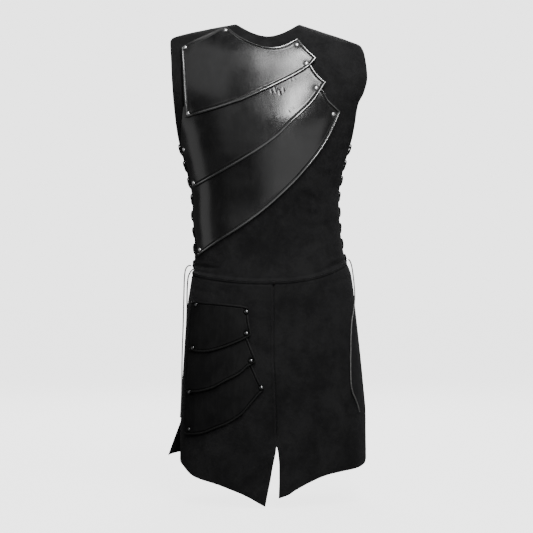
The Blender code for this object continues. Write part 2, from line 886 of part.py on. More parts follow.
def rivet_mesh():
    """A domed head with a flat seat, on +Z."""
    dome = bmesh.new()
    bmesh.ops.create_uvsphere(dome, u_segments=RIVET_SIDES, v_segments=6, radius=1)
    geometry = dome.verts[:] + dome.edges[:] + dome.faces[:]
    bmesh.ops.bisect_plane(
        dome,
        geom=geometry,
        plane_co=(0, 0, 0),
        plane_no=(0, 0, 1),
        clear_inner=True,
        dist=0.001,
    )
    rim = [edge for edge in dome.edges if edge.is_boundary]
    bmesh.ops.contextual_create(dome, geom=rim)
    bmesh.ops.scale(dome, vec=(RIVET / 2, RIVET / 2, RIVET_RISE), verts=dome.verts)
    bmesh.ops.recalc_face_normals(dome, faces=dome.faces)
    mesh = bpy.data.meshes.new("rivet")
    dome.to_mesh(mesh)
    dome.free()
    mesh.shade_smooth()
    mesh.set_sharp_from_angle(angle=math.radians(50))
    return mesh


def rivet_place(skins, across, height):
    """Where a head sits, its flat seat just over the highest plate under it."""
    around = front_angle(across, height)
    away = outward(around, height)
    turned = away.to_track_quat("Z", "Y")
    start = on_form(around, height, RIVET_REACH)
    spots = [Vector((0, 0, 0))]
    for step in range(RIVET_SIDES):
        angle = 2 * math.pi * step / RIVET_SIDES
        spots.append(Vector((math.cos(angle), math.sin(angle), 0)) * RIVET / 2)
    depths = []
    for skin in skins:
        for spot in spots:
            distance = skin.ray_cast(start + turned @ spot, -away)[3]
            if distance is not None:
                depths.append(distance)
    return start - away * (min(depths) - RIVET_GAP), turned


def add_rivets(collection, plates):
    graph = bpy.context.evaluated_depsgraph_get()
    skins = [BVHTree.FromObject(plate, graph) for plate in plates]
    for prefix, table in (("chest_rivet", CHEST_RIVETS), ("hip_rivet", HIP_RIVETS)):
        for number, (across, height) in enumerate(table, start=1):
            head = add_object(collection, f"{prefix}_{number:02d}", rivet_mesh(), "rivet")
            head.rotation_mode = "QUATERNION"
            head.location, head.rotation_quaternion = rivet_place(skins, across, height)


# Lacing

def row_height(side, row):
    return LACE_TOP + (LACE_FOOT[side] - LACE_TOP) * row / (LACE_ROWS - 1)


def hole_depth():
    return LACING_HALF_GAP + HOLE_INSET


def add_hole_cutters(cutters, name, edge):
    """One mesh of round punches, along the form's outward direction at each lacing hole."""
    punches = bmesh.new()
    for side in (-1, 1):
        for row in range(LACE_ROWS):
            height = row_height(side, row)
            centre = on_side(side, edge * hole_depth(), height, -CLOTH / 2)
            direction = (on_side(side, edge * hole_depth(), height, PUNCH_LENGTH) - centre).normalized()
            turned = direction.to_track_quat("Z", "Y").to_matrix().to_4x4()
            turned.translation = centre
            bmesh.ops.create_cone(
                punches,
                cap_ends=True,
                segments=HOLE_SIDES,
                radius1=HOLE / 2,
                radius2=HOLE / 2,
                depth=PUNCH_LENGTH,
                matrix=turned,
            )
    mesh = bpy.data.meshes.new(name)
    punches.to_mesh(mesh)
    punches.free()
    thing = bpy.data.objects.new(name, mesh)
    thing.hide_render = True
    thing.display_type = "WIRE"
    cutters.objects.link(thing)
    return thing


def strand_points(side, first_edge, over):
    """Points from a top hole down to the knot; each stretch dives under the other edge to its next hole."""
    points = []
    edge = first_edge
    span = 2 * hole_depth()
    for row in range(LACE_ROWS - 1):
        top, foot = row_height(side, row), row_height(side, row + 1)
        for share, out in STRAND:
            if out is None:
                out = OVER_STRAND if over else UNDER_STRAND
            depth = edge * (hole_depth() - span * share)
            points.append(on_side(side, depth, top + (foot - top) * share, out))
        edge = -edge
    foot = row_height(side, LACE_ROWS - 1)
    for share, drop, out in LAST_STRAND:
        points.append(on_side(side, edge * hole_depth() * share, foot - KNOT_DROP * drop, out))
    points.append(on_side(side, edge * (KNOT_SIZE[1] + KNOT_CLEARANCE), foot - KNOT_DROP, KNOT_OUT))
    return points


def lace_route(side):
    front = strand_points(side, -1, over=True)
    back = strand_points(side, 1, over=False)
    bar = [on_side(side, depth, LACE_TOP, BAR_OUT) for depth in BAR_DEPTHS]
    return list(reversed(front)) + bar + back


def add_cord(collection, name, points):
    curve = bpy.data.curves.new(name, "CURVE")
    curve.dimensions = "3D"
    curve.bevel_depth = LACE / 2
    curve.bevel_resolution = 2
    curve.use_fill_caps = True
    spline = curve.splines.new("POLY")
    spline.points.add(len(points) - 1)
    for spot, point in zip(spline.points, points):
        spot.co = (*point, 1.0)
    return add_object(collection, name, curve, "lace")


def smooth_route(points, count):
    """Evenly spread points on a smooth curve through a cord's own points."""
    knots = [Vector(point) for point in points]
    fine = []
    for index in range(len(knots) - 1):
        before = knots[max(index - 1, 0)]
        first, second = knots[index], knots[index + 1]
        after = knots[min(index + 2, len(knots) - 1)]
        for step in range(20):
            t = step / 20
            bend = (2 * before - 5 * first + 4 * second - after) * t * t
            twist = (3 * first - before - 3 * second + after) * t ** 3
            fine.append((2 * first + (second - before) * t + bend + twist) / 2)
    fine.append(knots[-1])
    lengths = [0.0]
    for first, second in zip(fine, fine[1:]):
        lengths.append(lengths[-1] + (second - first).length)
    result = []
    index = 0
    for number in range(count):
        target = lengths[-1] * number / (count - 1)
        while index < len(fine) - 2 and lengths[index + 1] < target:
            index += 1
        share = (target - lengths[index]) / (lengths[index + 1] - lengths[index])
        result.append(fine[index].lerp(fine[index + 1], share))
    return result


def knot_place(side):
    return on_side(side, 0.0, row_height(side, LACE_ROWS - 1) - KNOT_DROP, KNOT_OUT)


def add_knot(collection, name, side):
    knot = bmesh.new()
    bmesh.ops.create_uvsphere(knot, u_segments=8, v_segments=6, radius=1)
    bmesh.ops.scale(knot, vec=KNOT_SIZE, verts=knot.verts)
    mesh = bpy.data.meshes.new(name)
    knot.to_mesh(mesh)
    knot.free()
    mesh.shade_smooth()
    thing = add_object(collection, name, mesh, "lace")
    thing.location = knot_place(side)


def add_lacing(collection):
    for name, side in (("left", -1), ("right", 1)):
        add_cord(collection, "lace_" + name, lace_route(side))
        add_knot(collection, "lace_knot_" + name, side)
    for name, side, out, up, route in LACE_ENDS:
        away = Vector((side * out, 0, up))
        reach = KNOT_SIZE[0] if out else KNOT_SIZE[2]
        start = knot_place(side) + away * (reach + LACE_END_GAP)
        bend = start + away * LACE_END_STRAIGHT
        add_cord(collection, name, [start, *smooth_route([bend, *route], LACE_END_POINTS)])


def main():
    clear_scene()
    jerkin, cutters = make_collections()
    add_body(jerkin, cutters, "front_body", back=False)
    add_body(jerkin, cutters, "back_body", back=True)
    add_skirts(jerkin)
    plates = add_plates(jerkin)
    add_rivets(jerkin, plates)
    add_lacing(jerkin)


main()
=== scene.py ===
import math

import bmesh
import bpy
from mathutils import Matrix, Vector, noise
from mathutils.bvhtree import BVHTree


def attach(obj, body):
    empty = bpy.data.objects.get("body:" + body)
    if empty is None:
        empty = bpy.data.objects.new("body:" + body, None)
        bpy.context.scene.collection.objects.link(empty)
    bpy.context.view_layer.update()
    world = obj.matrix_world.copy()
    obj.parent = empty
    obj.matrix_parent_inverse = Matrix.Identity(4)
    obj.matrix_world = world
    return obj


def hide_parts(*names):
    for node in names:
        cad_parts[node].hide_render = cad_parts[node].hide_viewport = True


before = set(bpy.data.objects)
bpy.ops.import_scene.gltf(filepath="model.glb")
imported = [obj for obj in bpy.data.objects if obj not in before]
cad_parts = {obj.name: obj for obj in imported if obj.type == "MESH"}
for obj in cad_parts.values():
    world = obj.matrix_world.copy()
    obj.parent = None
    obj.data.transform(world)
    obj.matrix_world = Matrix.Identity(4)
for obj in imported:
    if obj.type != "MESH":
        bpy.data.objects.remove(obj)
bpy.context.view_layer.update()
print("frame loaded")

# The garment's form: ring sections round the body. Angles are 0 at the centre front, positive to the
# viewer's right, and heights are below the shoulders.
body = {
    "roundness": 2.35,
    "pitHeight": -0.2305,
    "neckHeight": 0.0233,
    "tipHeight": {-1: -0.0100, 1: -0.0277},
    "armholeReach": 0.060,
    "armholeSkew": 0.85,
    "armholeFullness": 0.6,
    "lacingHalfGap": 0.013,
    "frontNeckDrop": -0.0122,
    "backNeckDrop": 0.0040,
    "neckCurve": 1.8,
    "outline": (  # height, left, right
        (0.0233, 0.0731, 0.0709), (0.0111, 0.1400, 0.1086), (0.0000, 0.1930, 0.1412),
        (-0.0066, 0.2125, 0.1609), (-0.0133, 0.2160, 0.1788), (-0.0266, 0.2152, 0.2075),
        (-0.0532, 0.2127, 0.2134), (-0.0975, 0.2099, 0.2167), (-0.1307, 0.2076, 0.2094),
        (-0.1596, 0.2052, 0.1960), (-0.2305, 0.1977, 0.1850), (-0.2969, 0.1808, 0.1662),
        (-0.3634, 0.1672, 0.1562), (-0.4077, 0.1660, 0.1578), (-0.4521, 0.1622, 0.1620),
        (-0.4964, 0.1618, 0.1706), (-0.5296, 0.1666, 0.1828), (-0.6072, 0.1777, 0.1923),
        (-0.7623, 0.1881, 0.2088), (-0.8509, 0.1928, 0.2158), (-1.0500, 0.1965, 0.2170),
    ),
    "depth": (  # height, front, back
        (0.0233, 0.045, 0.045), (0.0000, 0.064, 0.059), (-0.0266, 0.081, 0.074),
        (-0.0532, 0.094, 0.087), (-0.0975, 0.109, 0.101), (-0.1596, 0.122, 0.111),
        (-0.1972, 0.125, 0.111), (-0.2637, 0.1215, 0.102), (-0.3302, 0.112, 0.091),
        (-0.4077, 0.105, 0.088), (-0.4521, 0.106, 0.096), (-0.5296, 0.114, 0.115),
        (-0.6072, 0.124, 0.130), (-0.7623, 0.140, 0.142), (-1.0500, 0.158, 0.156),
    ),
    "folds": (  # degrees around, half width, top, foot, depth
        (30, 10, -0.66, -0.95, -0.0050), (58, 9, -0.56, -0.95, 0.0050), (8, 7, -0.78, -1.00, 0.0030),
        (-12, 8, -0.84, -1.00, -0.0040), (112, 9, -0.60, -0.93, -0.0040),
        (138, 12, -0.56, -0.93, 0.0070), (163, 11, -0.62, -0.93, -0.0060),
        (190, 12, -0.58, -0.93, 0.0060), (216, 12, -0.62, -0.93, -0.0060),
        (240, 10, -0.70, -0.93, 0.0050), (180, 16, -0.12, -0.36, -0.0040),
    ),
}


def smoothStep(value):
    value = min(max(value, 0.0), 1.0)
    return value * value * (3 - 2 * value)


def bell(distance, width):
    return math.exp(-(distance / width) ** 2)


def ridges(distance, table):
    # raised and sunk lines along an edge: distance in, half width, height
    return sum(height * bell(distance - place, width) for place, width, height in table)


def hermite(first, second, slopes, step, t):
    # a smooth step from one value to the next, that keeps the slope at both
    start = first * (1 + 2 * t) * (1 - t) ** 2 + slopes[0] * step * t * (1 - t) ** 2
    end = second * t * t * (3 - 2 * t) - slopes[1] * step * t * t * (1 - t)
    return start + end


def readTable(table, column, key):
    # a smooth value between a table's rows, with no overshoot
    rows = sorted(table)
    keys = [row[0] for row in rows]
    values = [row[column] for row in rows]
    key = min(max(key, keys[0]), keys[-1])
    last = len(rows) - 2
    index = 0
    while index < last and keys[index + 1] < key:
        index += 1
    chords = [(values[i + 1] - values[i]) / (keys[i + 1] - keys[i]) for i in range(last + 1)]

    def slope(i):
        if i == 0 or i == last + 1:
            return chords[min(i, last)]
        before, after = chords[i - 1], chords[i]
        return 0.0 if before * after <= 0 else 2 * before * after / (before + after)

    step = keys[index + 1] - keys[index]
    slopes = (slope(index), slope(index + 1))
    return hermite(values[index], values[index + 1], slopes, step, (key - keys[index]) / step)


def sampled(function, low=-1.06, high=0.03, step=0.0005):
    # the same function, read from values kept at even steps, every half millimetre of height
    count = int(round((high - low) / step))
    values = [function(low + step * i) for i in range(count + 1)]

    def read(key):
        place = (min(max(key, low), high) - low) / step
        index = min(int(place), count - 1)
        return values[index] + (values[index + 1] - values[index]) * (place - index)

    return read


def edgeDepth(height, side):
    if height <= body["pitHeight"]:
        return body["lacingHalfGap"]
    share = (height - body["pitHeight"]) / (body["tipHeight"][side] - body["pitHeight"])
    if share >= 1:
        return 0.0
    hollow = math.sin(math.pi * share ** body["armholeSkew"]) ** body["armholeFullness"]
    reach = body["armholeReach"] * hollow
    return math.hypot(body["lacingHalfGap"] * (1 - share), reach)


def sampledColumn(name, column):
    return sampled(lambda height: readTable(body[name], column, height))


frontDepth, backDepth = sampledColumn("depth", 1), sampledColumn("depth", 2)
outline = {-1: sampledColumn("outline", 1), 1: sampledColumn("outline", 2)}


def ringWidth(height, side):
    power = body["roundness"]
    inset = edgeDepth(height, side) / frontDepth(height)
    return outline[side](height) / (1 - inset ** power) ** (1 / power)


halfWidth = {side: sampled(lambda height, side=side: ringWidth(height, side)) for side in (-1, 1)}


def fold(around, height):
    total = 0.0
    for centre, width, top, foot, depth in body["folds"]:
        if height < top:
            turn = (around - centre + 180) % 360 - 180
            total += depth * bell(turn, width) * smoothStep((top - height) / (top - foot))
    return total


def form(around, height):
    turn = math.radians(around)
    sine, cosine = math.sin(turn), math.cos(turn)
    power = body["roundness"]
    reach = max(0.0, 1 - abs(sine) ** power) ** (1 / power)
    depth = (frontDepth if cosine >= 0 else backDepth)(height) * reach
    across = halfWidth[-1 if sine < 0 else 1](height) * sine
    extra = fold(around, height)
    return Vector((across + extra * sine, (-depth if cosine >= 0 else depth) - extra * cosine, height))


def outward(around, height, turn=1.5, rise=0.004):
    along = form(around + turn, height) - form(around - turn, height)
    up = form(around, height + rise) - form(around, height - rise)
    return along.cross(up).normalized()


def onForm(around, height, out=0.0):
    return form(around, height) + outward(around, height) * out


def frontAngle(across, height):
    side = -1 if across < 0 else 1
    return side * math.degrees(math.asin(min(1.0, abs(across) / halfWidth[side](height))))


def onFront(across, height, out, face):
    # out from the form, under the place where a face is seen from the front
    away = outward(frontAngle(across, height), height)
    across -= away.x * face
    height -= away.z * face
    return onForm(frontAngle(across, height), height, out)


def onSide(side, depth, height, out=0.0):
    power = body["roundness"]
    share = abs(depth) / (frontDepth if depth < 0 else backDepth)(height)
    around = math.degrees(math.asin((1 - share ** power) ** (1 / power)))
    return onForm(side * (180 - around if depth > 0 else around), height, out)


def addObject(name, data):
    thing = bpy.data.objects.new(name, data)
    bpy.context.scene.collection.objects.link(thing)
    return thing


def addMesh(name, source, material=None):
    # an object from a bmesh, which is then freed
    data = bpy.data.meshes.new(name)
    source.to_mesh(data)
    source.free()
    if material is not None:
        data.materials.append(material)
    return addObject(name, data)


# Camera at the photograph's angle
camera = {
    "place": (-0.0033, -3.2, -0.5108),
    "frameWidth": 1.181,
    "distance": 3.2,
    "sensorWidth": 36,
    "reach": 60,
}
eye = bpy.data.cameras.new("camera")
eye.sensor_width = camera["sensorWidth"]
eye.lens = eye.sensor_width * camera["distance"] / camera["frameWidth"]
eye.clip_end = camera["reach"]
eyeObject = addObject("camera", eye)
eyeObject.location = camera["place"]
eyeObject.rotation_euler = (math.radians(90), 0, 0)
bpy.context.scene.camera = eyeObject
print("camera placed")


# Materials
class Wire:
    # a shader value; sums and products on it add their nodes
    def __init__(self, tree, socket=None):
        self.tree = tree
        self.socket = socket

    def node(self, kind, settings=None, values=None, output=0):
        made = self.tree.nodes.new(kind)
        for name, value in (settings or {}).items():
            setattr(made, name, value)
        for name, value in (values or {}).items():
            if isinstance(value, Wire):
                self.tree.links.new(value.socket, made.inputs[name])
            else:
                made.inputs[name].default_value = value
        return Wire(self.tree, made.outputs[output])

    def maths(self, operation, first, second):
        return self.node("ShaderNodeMath", {"operation": operation}, {0: first, 1: second})

    def __add__(self, other):
        return self.maths("ADD", self, other)

    def __sub__(self, other):
        return self.maths("SUBTRACT", self, other)

    def __rsub__(self, other):
        return self.maths("SUBTRACT", other, self)

    def __mul__(self, other):
        return self.maths("MULTIPLY", self, other)

    __radd__ = __add__
    __rmul__ = __mul__


def noiseField(wire, place, scale, detail, roughness, distortion=0.0):
    values = {"Vector": place, "Scale": scale, "Detail": detail}
    values.update({"Roughness": roughness, "Distortion": distortion})
    return wire.node("ShaderNodeTexNoise", None, values)


def ramp(wire, field, low, high, least=0.0):
    # a smooth rise from the least value up to 1, as the field goes from low to high
    made = wire.node("ShaderNodeValToRGB", None, {"Fac": field})
    band = made.socket.node.color_ramp
    band.interpolation = "EASE"
    for element, place, grey in zip(band.elements, (low, high), (least, 1.0)):
        element.position = place
        element.color = (grey, grey, grey, 1)
    return made


def mixColours(wire, factor, first, second):
    values = {"Factor": factor, 6: first, 7: second}
    return wire.node("ShaderNodeMix", {"data_type": "RGBA"}, values, output=2)


def newMaterial(name, constants):
    material = bpy.data.materials.new(name)
    material.use_nodes = True
    shader = material.node_tree.nodes["Principled BSDF"]
    for socket, value in constants.items():
        shader.inputs[socket].default_value = value
    return material, Wire(material.node_tree), shader


def joinUp(wire, shader, colour, roughness, heights):
    # heights are pairs of a field and its depth in metres, laid over each other
    wire.tree.links.new(colour.socket, shader.inputs["Base Color"])
    wire.tree.links.new(roughness.socket, shader.inputs["Roughness"])
    below = {}
    for field, depth in heights:
        values = {"Height": field, "Distance": depth, "Strength": 1.0, **below}
        normal = wire.node("ShaderNodeBump", None, values)
        below = {"Normal": normal}
    wire.tree.links.new(normal.socket, shader.inputs["Normal"])


# The looks. A noise has its scale, detail, roughness and distortion; a band is where its tones start and end.
suedeLook = {
    "name": "blackSuede",
    "dark": (0.0055, 0.0055, 0.0058, 1),
    "light": (0.0125, 0.0125, 0.0129, 1),
    "specular": 0.16,
    "sheen": 0.05,
    "sheenRoughness": 0.6,
    "sheenTint": (0.5, 0.5, 0.52, 1),
    "roughness": 0.97,
    "lightSmoother": 0.08,
    "cloud": (16.0, 4.0, 0.6, 0.4),
    "mottle": (70.0, 4.0, 0.65, 0.6),
    "mottleDepth": 0.0012,
    "grain": (315.0, 3.0, 0.6, 1.2),
    "grainDepth": 0.0006,
    "nap": (900.0, 3.0, 0.7),
    "napDepth": 0.00035,
    "mix": (0.55, 0.30, 0.15),
    "band": (0.36, 0.64),
}


def makeSuede(look):
    constants = {
        "Specular IOR Level": look["specular"],
        "Sheen Weight": look["sheen"],
        "Sheen Roughness": look["sheenRoughness"],
        "Sheen Tint": look["sheenTint"],
    }
    material, wire, shader = newMaterial(look["name"], constants)
    place = wire.node("ShaderNodeTexCoord", output="Object")
    fields = [noiseField(wire, place, *look[key]) for key in ("cloud", "mottle", "nap", "grain")]
    cloud, mottle, nap, grain = fields
    cloudShare, mottleShare, grainShare = look["mix"]
    shade = ramp(wire, cloud * cloudShare + mottle * mottleShare + grain * grainShare, *look["band"])
    colour = mixColours(wire, shade, look["dark"], look["light"])
    heights = [(mottle, look["mottleDepth"]), (grain, look["grainDepth"]), (nap, look["napDepth"])]
    joinUp(wire, shader, colour, shade * -look["lightSmoother"] + look["roughness"], heights)
    return material


# What both leathers share
leatherGrain = {
    # painted shade: the near-black colour laid on the plates beside the beads' grooves, near the top edge
    # over the shoulders and round the rivets
    "hollow": (0.0006, 0.0006, 0.0006, 1),
    "cloud": (22.0, 4.0, 0.6, 0.3),
    "streak": (120.0, 4.0, 0.6, 0.8),
    "streakStretch": (1.0, 1.0, 0.22),
    "cellScale": 850.0,
    "cellSmoothness": 0.6,
    "grain": (420.0, 3.0, 0.6, 0.5),
    "mix": (0.65, 0.35),
    "band": (0.38, 0.64),
    "rubBand": (0.35, 0.7),
    "rubLeast": 0.2,
    "unevenness": 0.03,
    "rimSmoother": 0.06,
    "hollowRougher": 0.60,
    "coatRoughness": 0.16,
    "coatIor": 2.3,
}
leatherLook = {
    "name": "waxedBlackLeather",
    "dark": (0.0040, 0.0040, 0.0042, 1),
    "light": (0.0085, 0.0085, 0.0088, 1),
    # the beads' lighter colour: real rubbed wear and a painted highlight
    "worn": (0.032, 0.032, 0.033, 1),
    "specular": 0.85,
    "roughness": 0.22,
    "grainDepth": 0.00003,
    "streakDepth": 0.00006,
    "rimCoat": 1.0,
}
hipLook = {
    "name": "dullBlackLeather",
    "dark": (0.0030, 0.0030, 0.0032, 1),
    "light": (0.0078, 0.0078, 0.0080, 1),
    # the beads' lighter colour: real rubbed wear and a painted highlight
    "worn": (0.012, 0.012, 0.012, 1),
    "specular": 0.16,
    "roughness": 0.60,
    "grainDepth": 0.00010,
    "streakDepth": 0.00015,
    "rimCoat": 0.0,
}


def makeLeather(look):
    constants = {
        "Specular IOR Level": look["specular"],
        "Coat Roughness": leatherGrain["coatRoughness"],
        "Coat IOR": leatherGrain["coatIor"],
    }
    material, wire, shader = newMaterial(look["name"], constants)
    place = wire.node("ShaderNodeTexCoord", output="Object")
    rim = wire.node("ShaderNodeAttribute", {"attribute_name": "rim"}, output=2)
    # the hollow attribute carries painted shade
    hollow = wire.node("ShaderNodeAttribute", {"attribute_name": "hollow"}, output=2)
    stretch = {"Vector": place, "Scale": leatherGrain["streakStretch"]}
    stretched = wire.node("ShaderNodeMapping", None, stretch)
    cloud = noiseField(wire, place, *leatherGrain["cloud"])
    streak = noiseField(wire, stretched, *leatherGrain["streak"])
    cells = {"Vector": place, "Scale": leatherGrain["cellScale"]}
    cells["Smoothness"] = leatherGrain["cellSmoothness"]
    cell = wire.node("ShaderNodeTexVoronoi", {"feature": "SMOOTH_F1"}, cells)
    grain = noiseField(wire, place, *leatherGrain["grain"])
    cloudShare, streakShare = leatherGrain["mix"]
    shade = ramp(wire, cloud * cloudShare + streak * streakShare, *leatherGrain["band"])
    base = mixColours(wire, shade, look["dark"], look["light"])
    # the beads get a lighter colour, partly real rubbed wear and partly a painted highlight that brightens
    # them
    rubAndHighlightMask = rim * ramp(wire, grain, *leatherGrain["rubBand"], least=leatherGrain["rubLeast"])
    worn = mixColours(wire, rubAndHighlightMask, base, look["worn"])
    # painted shade: near-black mixed in where the hollow attribute is high
    colour = mixColours(wire, hollow, worn, leatherGrain["hollow"])
    wire.tree.links.new((rim * look["rimCoat"]).socket, shader.inputs["Coat Weight"])
    uneven = leatherGrain["unevenness"]
    roughness = shade * uneven + streak * uneven - rim * leatherGrain["rimSmoother"]
    roughness = roughness + hollow * leatherGrain["hollowRougher"] + (look["roughness"] - uneven)
    heights = [(streak, look["streakDepth"]), (cell, look["grainDepth"]), (grain, look["grainDepth"])]
    joinUp(wire, shader, colour, roughness, heights)
    return material


# What all laces share
laceGrain = {
    "specular": 0.5,
    "crinkle": (260.0, 4.0, 0.65, 1.0),
    "crinkleDepth": 0.0005,
    "fine": (1400.0, 2.0, 0.6),
    "fineDepth": 0.0002,
    "band": (0.35, 0.68),
    "unevenness": 0.15,
    "darkSmoother": 0.05,
}
laceLook = {
    "name": "laceLeather",
    "dark": (0.006, 0.006, 0.006, 1),
    "light": (0.020, 0.020, 0.020, 1),
    "roughness": 0.50,
}
# painted shade: a darker copy of the lace leather, for the lace end at the back
shadedLaceLook = {
    "name": "blackLaceLeather",
    "dark": (0.002, 0.002, 0.002, 1),
    "light": (0.005, 0.005, 0.005, 1),
    "roughness": 0.75,
}
# painted highlight: a paler copy of the lace leather, for the two front lace ends
highlitLaceLook = {
    "name": "paleLaceLeather",
    "dark": (0.060, 0.060, 0.059, 1),
    "light": (0.160, 0.158, 0.155, 1),
    "roughness": 0.42,
}


def makeLaceLeather(look):
    material, wire, shader = newMaterial(look["name"], {"Specular IOR Level": laceGrain["specular"]})
    place = wire.node("ShaderNodeTexCoord", output="Object")
    crinkle, fine = (noiseField(wire, place, *laceGrain[key]) for key in ("crinkle", "fine"))
    shade = ramp(wire, crinkle, *laceGrain["band"])
    colour = mixColours(wire, shade, look["dark"], look["light"])
    roughness = shade * laceGrain["unevenness"] + (look["roughness"] - laceGrain["darkSmoother"])
    heights = [(crinkle, laceGrain["crinkleDepth"]), (fine, laceGrain["fineDepth"])]
    joinUp(wire, shader, colour, roughness, heights)
    return material


# What both rivet steels share
steelGrain = {
    "wear": (500.0, 3.0, 0.6),
    "wearDepth": 0.00006,
    "band": (0.3, 0.7),
    "unevenness": 0.12,
}
rivetLook = {
    "name": "rivetSteel",
    "dark": (0.70, 0.70, 0.71, 1),
    "light": (0.95, 0.95, 0.95, 1),
    "roughness": 0.33,
}
dullRivetLook = {
    "name": "dullRivetSteel",
    "dark": (0.10, 0.10, 0.103, 1),
    "light": (0.24, 0.24, 0.245, 1),
    "roughness": 0.10,
}


def makeRivetSteel(look):
    material, wire, shader = newMaterial(look["name"], {"Metallic": 1.0})
    place = wire.node("ShaderNodeTexCoord", output="Object")
    wear = noiseField(wire, place, *steelGrain["wear"])
    shade = ramp(wire, wear, *steelGrain["band"])
    colour = mixColours(wire, shade, look["dark"], look["light"])
    roughness = shade * steelGrain["unevenness"] + look["roughness"]
    joinUp(wire, shader, colour, roughness, [(wear, steelGrain["wearDepth"])])
    return material


threadLook = {
    "name": "blackThread",
    "dark": (0.008, 0.008, 0.008, 1),
    "light": (0.030, 0.030, 0.031, 1),
    "specular": 0.4,
    "roughness": 0.5,
    "unevenness": 0.1,
    "twistScale": 900.0,
    "twistDistortion": 0.5,
    "twistDepth": 0.0001,
}


def makeThread(look):
    material, wire, shader = newMaterial(look["name"], {"Specular IOR Level": look["specular"]})
    place = wire.node("ShaderNodeTexCoord", output="Object")
    turns = {"Vector": place, "Scale": look["twistScale"], "Distortion": look["twistDistortion"]}
    twist = wire.node("ShaderNodeTexWave", {"bands_direction": "DIAGONAL"}, turns)
    colour = mixColours(wire, twist, look["dark"], look["light"])
    roughness = twist * look["unevenness"] + look["roughness"]
    joinUp(wire, shader, colour, roughness, [(twist, look["twistDepth"])])
    return material


suede = makeSuede(suedeLook)
leather = makeLeather(leatherLook)
hipLeather = makeLeather(hipLook)
laceLeather = makeLaceLeather(laceLook)
shadedLace = makeLaceLeather(shadedLaceLook)
highlitLace = makeLaceLeather(highlitLaceLook)
rivetSteel = {"chest": makeRivetSteel(rivetLook), "hip": makeRivetSteel(dullRivetLook)}
thread = makeThread(threadLook)
print("materials made")


# Cords, knots and laces
lacing = {
    "diameter": 0.0030,
    "holeDiameter": 0.0060,
    "holeInset": 0.008,
    "punch": {"start": -0.001, "towards": 0.012, "depth": 0.02, "segments": 28},
    "rows": 8,
    "top": -0.2430,
    "foot": {-1: -0.4980, 1: -0.4850},
    "knotDrop": 0.0110,
    "knotOut": 0.0010,
    "knotSize": 0.00150,
    "strand": (  # share across the gap, distance out from the form
        (0.00, -0.0010), (0.02, 0.0019), (0.24, 0.0024), (0.50, None), (0.78, -0.0048), (0.98, -0.0044),
    ),
    "over": 0.0012,
    "under": -0.0024,
    "lastStrand": ((1.00, 0.0, -0.0010), (0.96, 0.0, 0.0022), (0.70, 0.4, 0.0027)),
    "knotReach": 0.0045,
    "barOut": -0.0040,
    "barDepths": (-0.020, -0.009, 0.009, 0.020),
    "spacing": 0.0016,
    "knotTurn": {-1: 82, 1: 98},
    "endStart": 0.0055,
    "innerEndStart": 0.0049,
    "endStraight": 0.0020,
    "endSpacing": 0.004,
    "ends": (
        # name, side, outward and upward way it leaves the knot, length, then the route
        (
            "lace_end_left_front", -1, 1, 0, 0.348,
            (
                (-0.1742, -0.0030, -0.5083), (-0.1792, -0.0050, -0.5118), (-0.1830, -0.0080, -0.5205),
                (-0.1846, -0.0110, -0.5384), (-0.1853, -0.0130, -0.5626), (-0.1860, -0.0145, -0.5956),
                (-0.1870, -0.0160, -0.6395), (-0.1884, -0.0190, -0.6841), (-0.1885, -0.0322, -0.7159),
                (-0.1884, -0.0444, -0.7588), (-0.1888, -0.0514, -0.7953), (-0.1900, -0.0514, -0.8237),
                (-0.1912, -0.0496, -0.8402),
            ),
        ),
        (
            "lace_end_left_back", -1, 0, -1, 0.331,
            (
                (-0.1700, 0.0035, -0.5200), (-0.1738, 0.0065, -0.5260), (-0.1775, 0.0110, -0.5350),
                (-0.1795, 0.0150, -0.5550), (-0.1805, 0.0200, -0.5800), (-0.1810, 0.0260, -0.6100),
                (-0.1832, 0.0330, -0.6600), (-0.1855, 0.0370, -0.7100), (-0.1878, 0.0380, -0.7600),
                (-0.1898, 0.0370, -0.8100), (-0.1905, 0.0365, -0.8350),
            ),
        ),
        (
            "lace_end_right_front", 1, 1, 0, 0.358,
            (
                (0.1807, -0.0030, -0.4975), (0.1839, -0.0050, -0.5050), (0.1862, -0.0090, -0.5170),
                (0.1884, -0.0190, -0.5380), (0.1900, -0.0300, -0.5623), (0.1898, -0.0395, -0.5798),
                (0.1872, -0.0520, -0.6022), (0.1820, -0.0680, -0.6302), (0.1795, -0.0790, -0.6633),
                (0.1780, -0.0900, -0.7138), (0.1780, -0.0950, -0.7443), (0.1787, -0.0970, -0.7635),
                (0.1821, -0.0962, -0.7807), (0.1905, -0.0905, -0.8010), (0.1980, -0.0840, -0.8243),
            ),
        ),
    ),
}


def smoothRoute(points, spacing):
    # evenly spread points on a smooth curve through the given ones
    knots = [Vector(point) for point in points]
    fine = []
    for index in range(len(knots) - 1):
        before = knots[max(index - 1, 0)]
        first, second = knots[index], knots[index + 1]
        after = knots[min(index + 2, len(knots) - 1)]
        for step in range(16):
            t = step / 16
            bend = (2 * before - 5 * first + 4 * second - after) * t * t
            twist = (3 * first - before - 3 * second + after) * t ** 3
            fine.append((2 * first + (second - before) * t + bend + twist) / 2)
    fine.append(knots[-1])
    lengths = [0.0]
    for first, second in zip(fine, fine[1:]):
        lengths.append(lengths[-1] + (second - first).length)
    count = max(2, int(lengths[-1] / spacing) + 1)
    result = []
    index = 0
    for number in range(count):
        target = lengths[-1] * number / (count - 1)
        while index < len(fine) - 2 and lengths[index + 1] < target:
            index += 1
        share = (target - lengths[index]) / (lengths[index + 1] - lengths[index])
        result.append(fine[index].lerp(fine[index + 1], share))
    return result


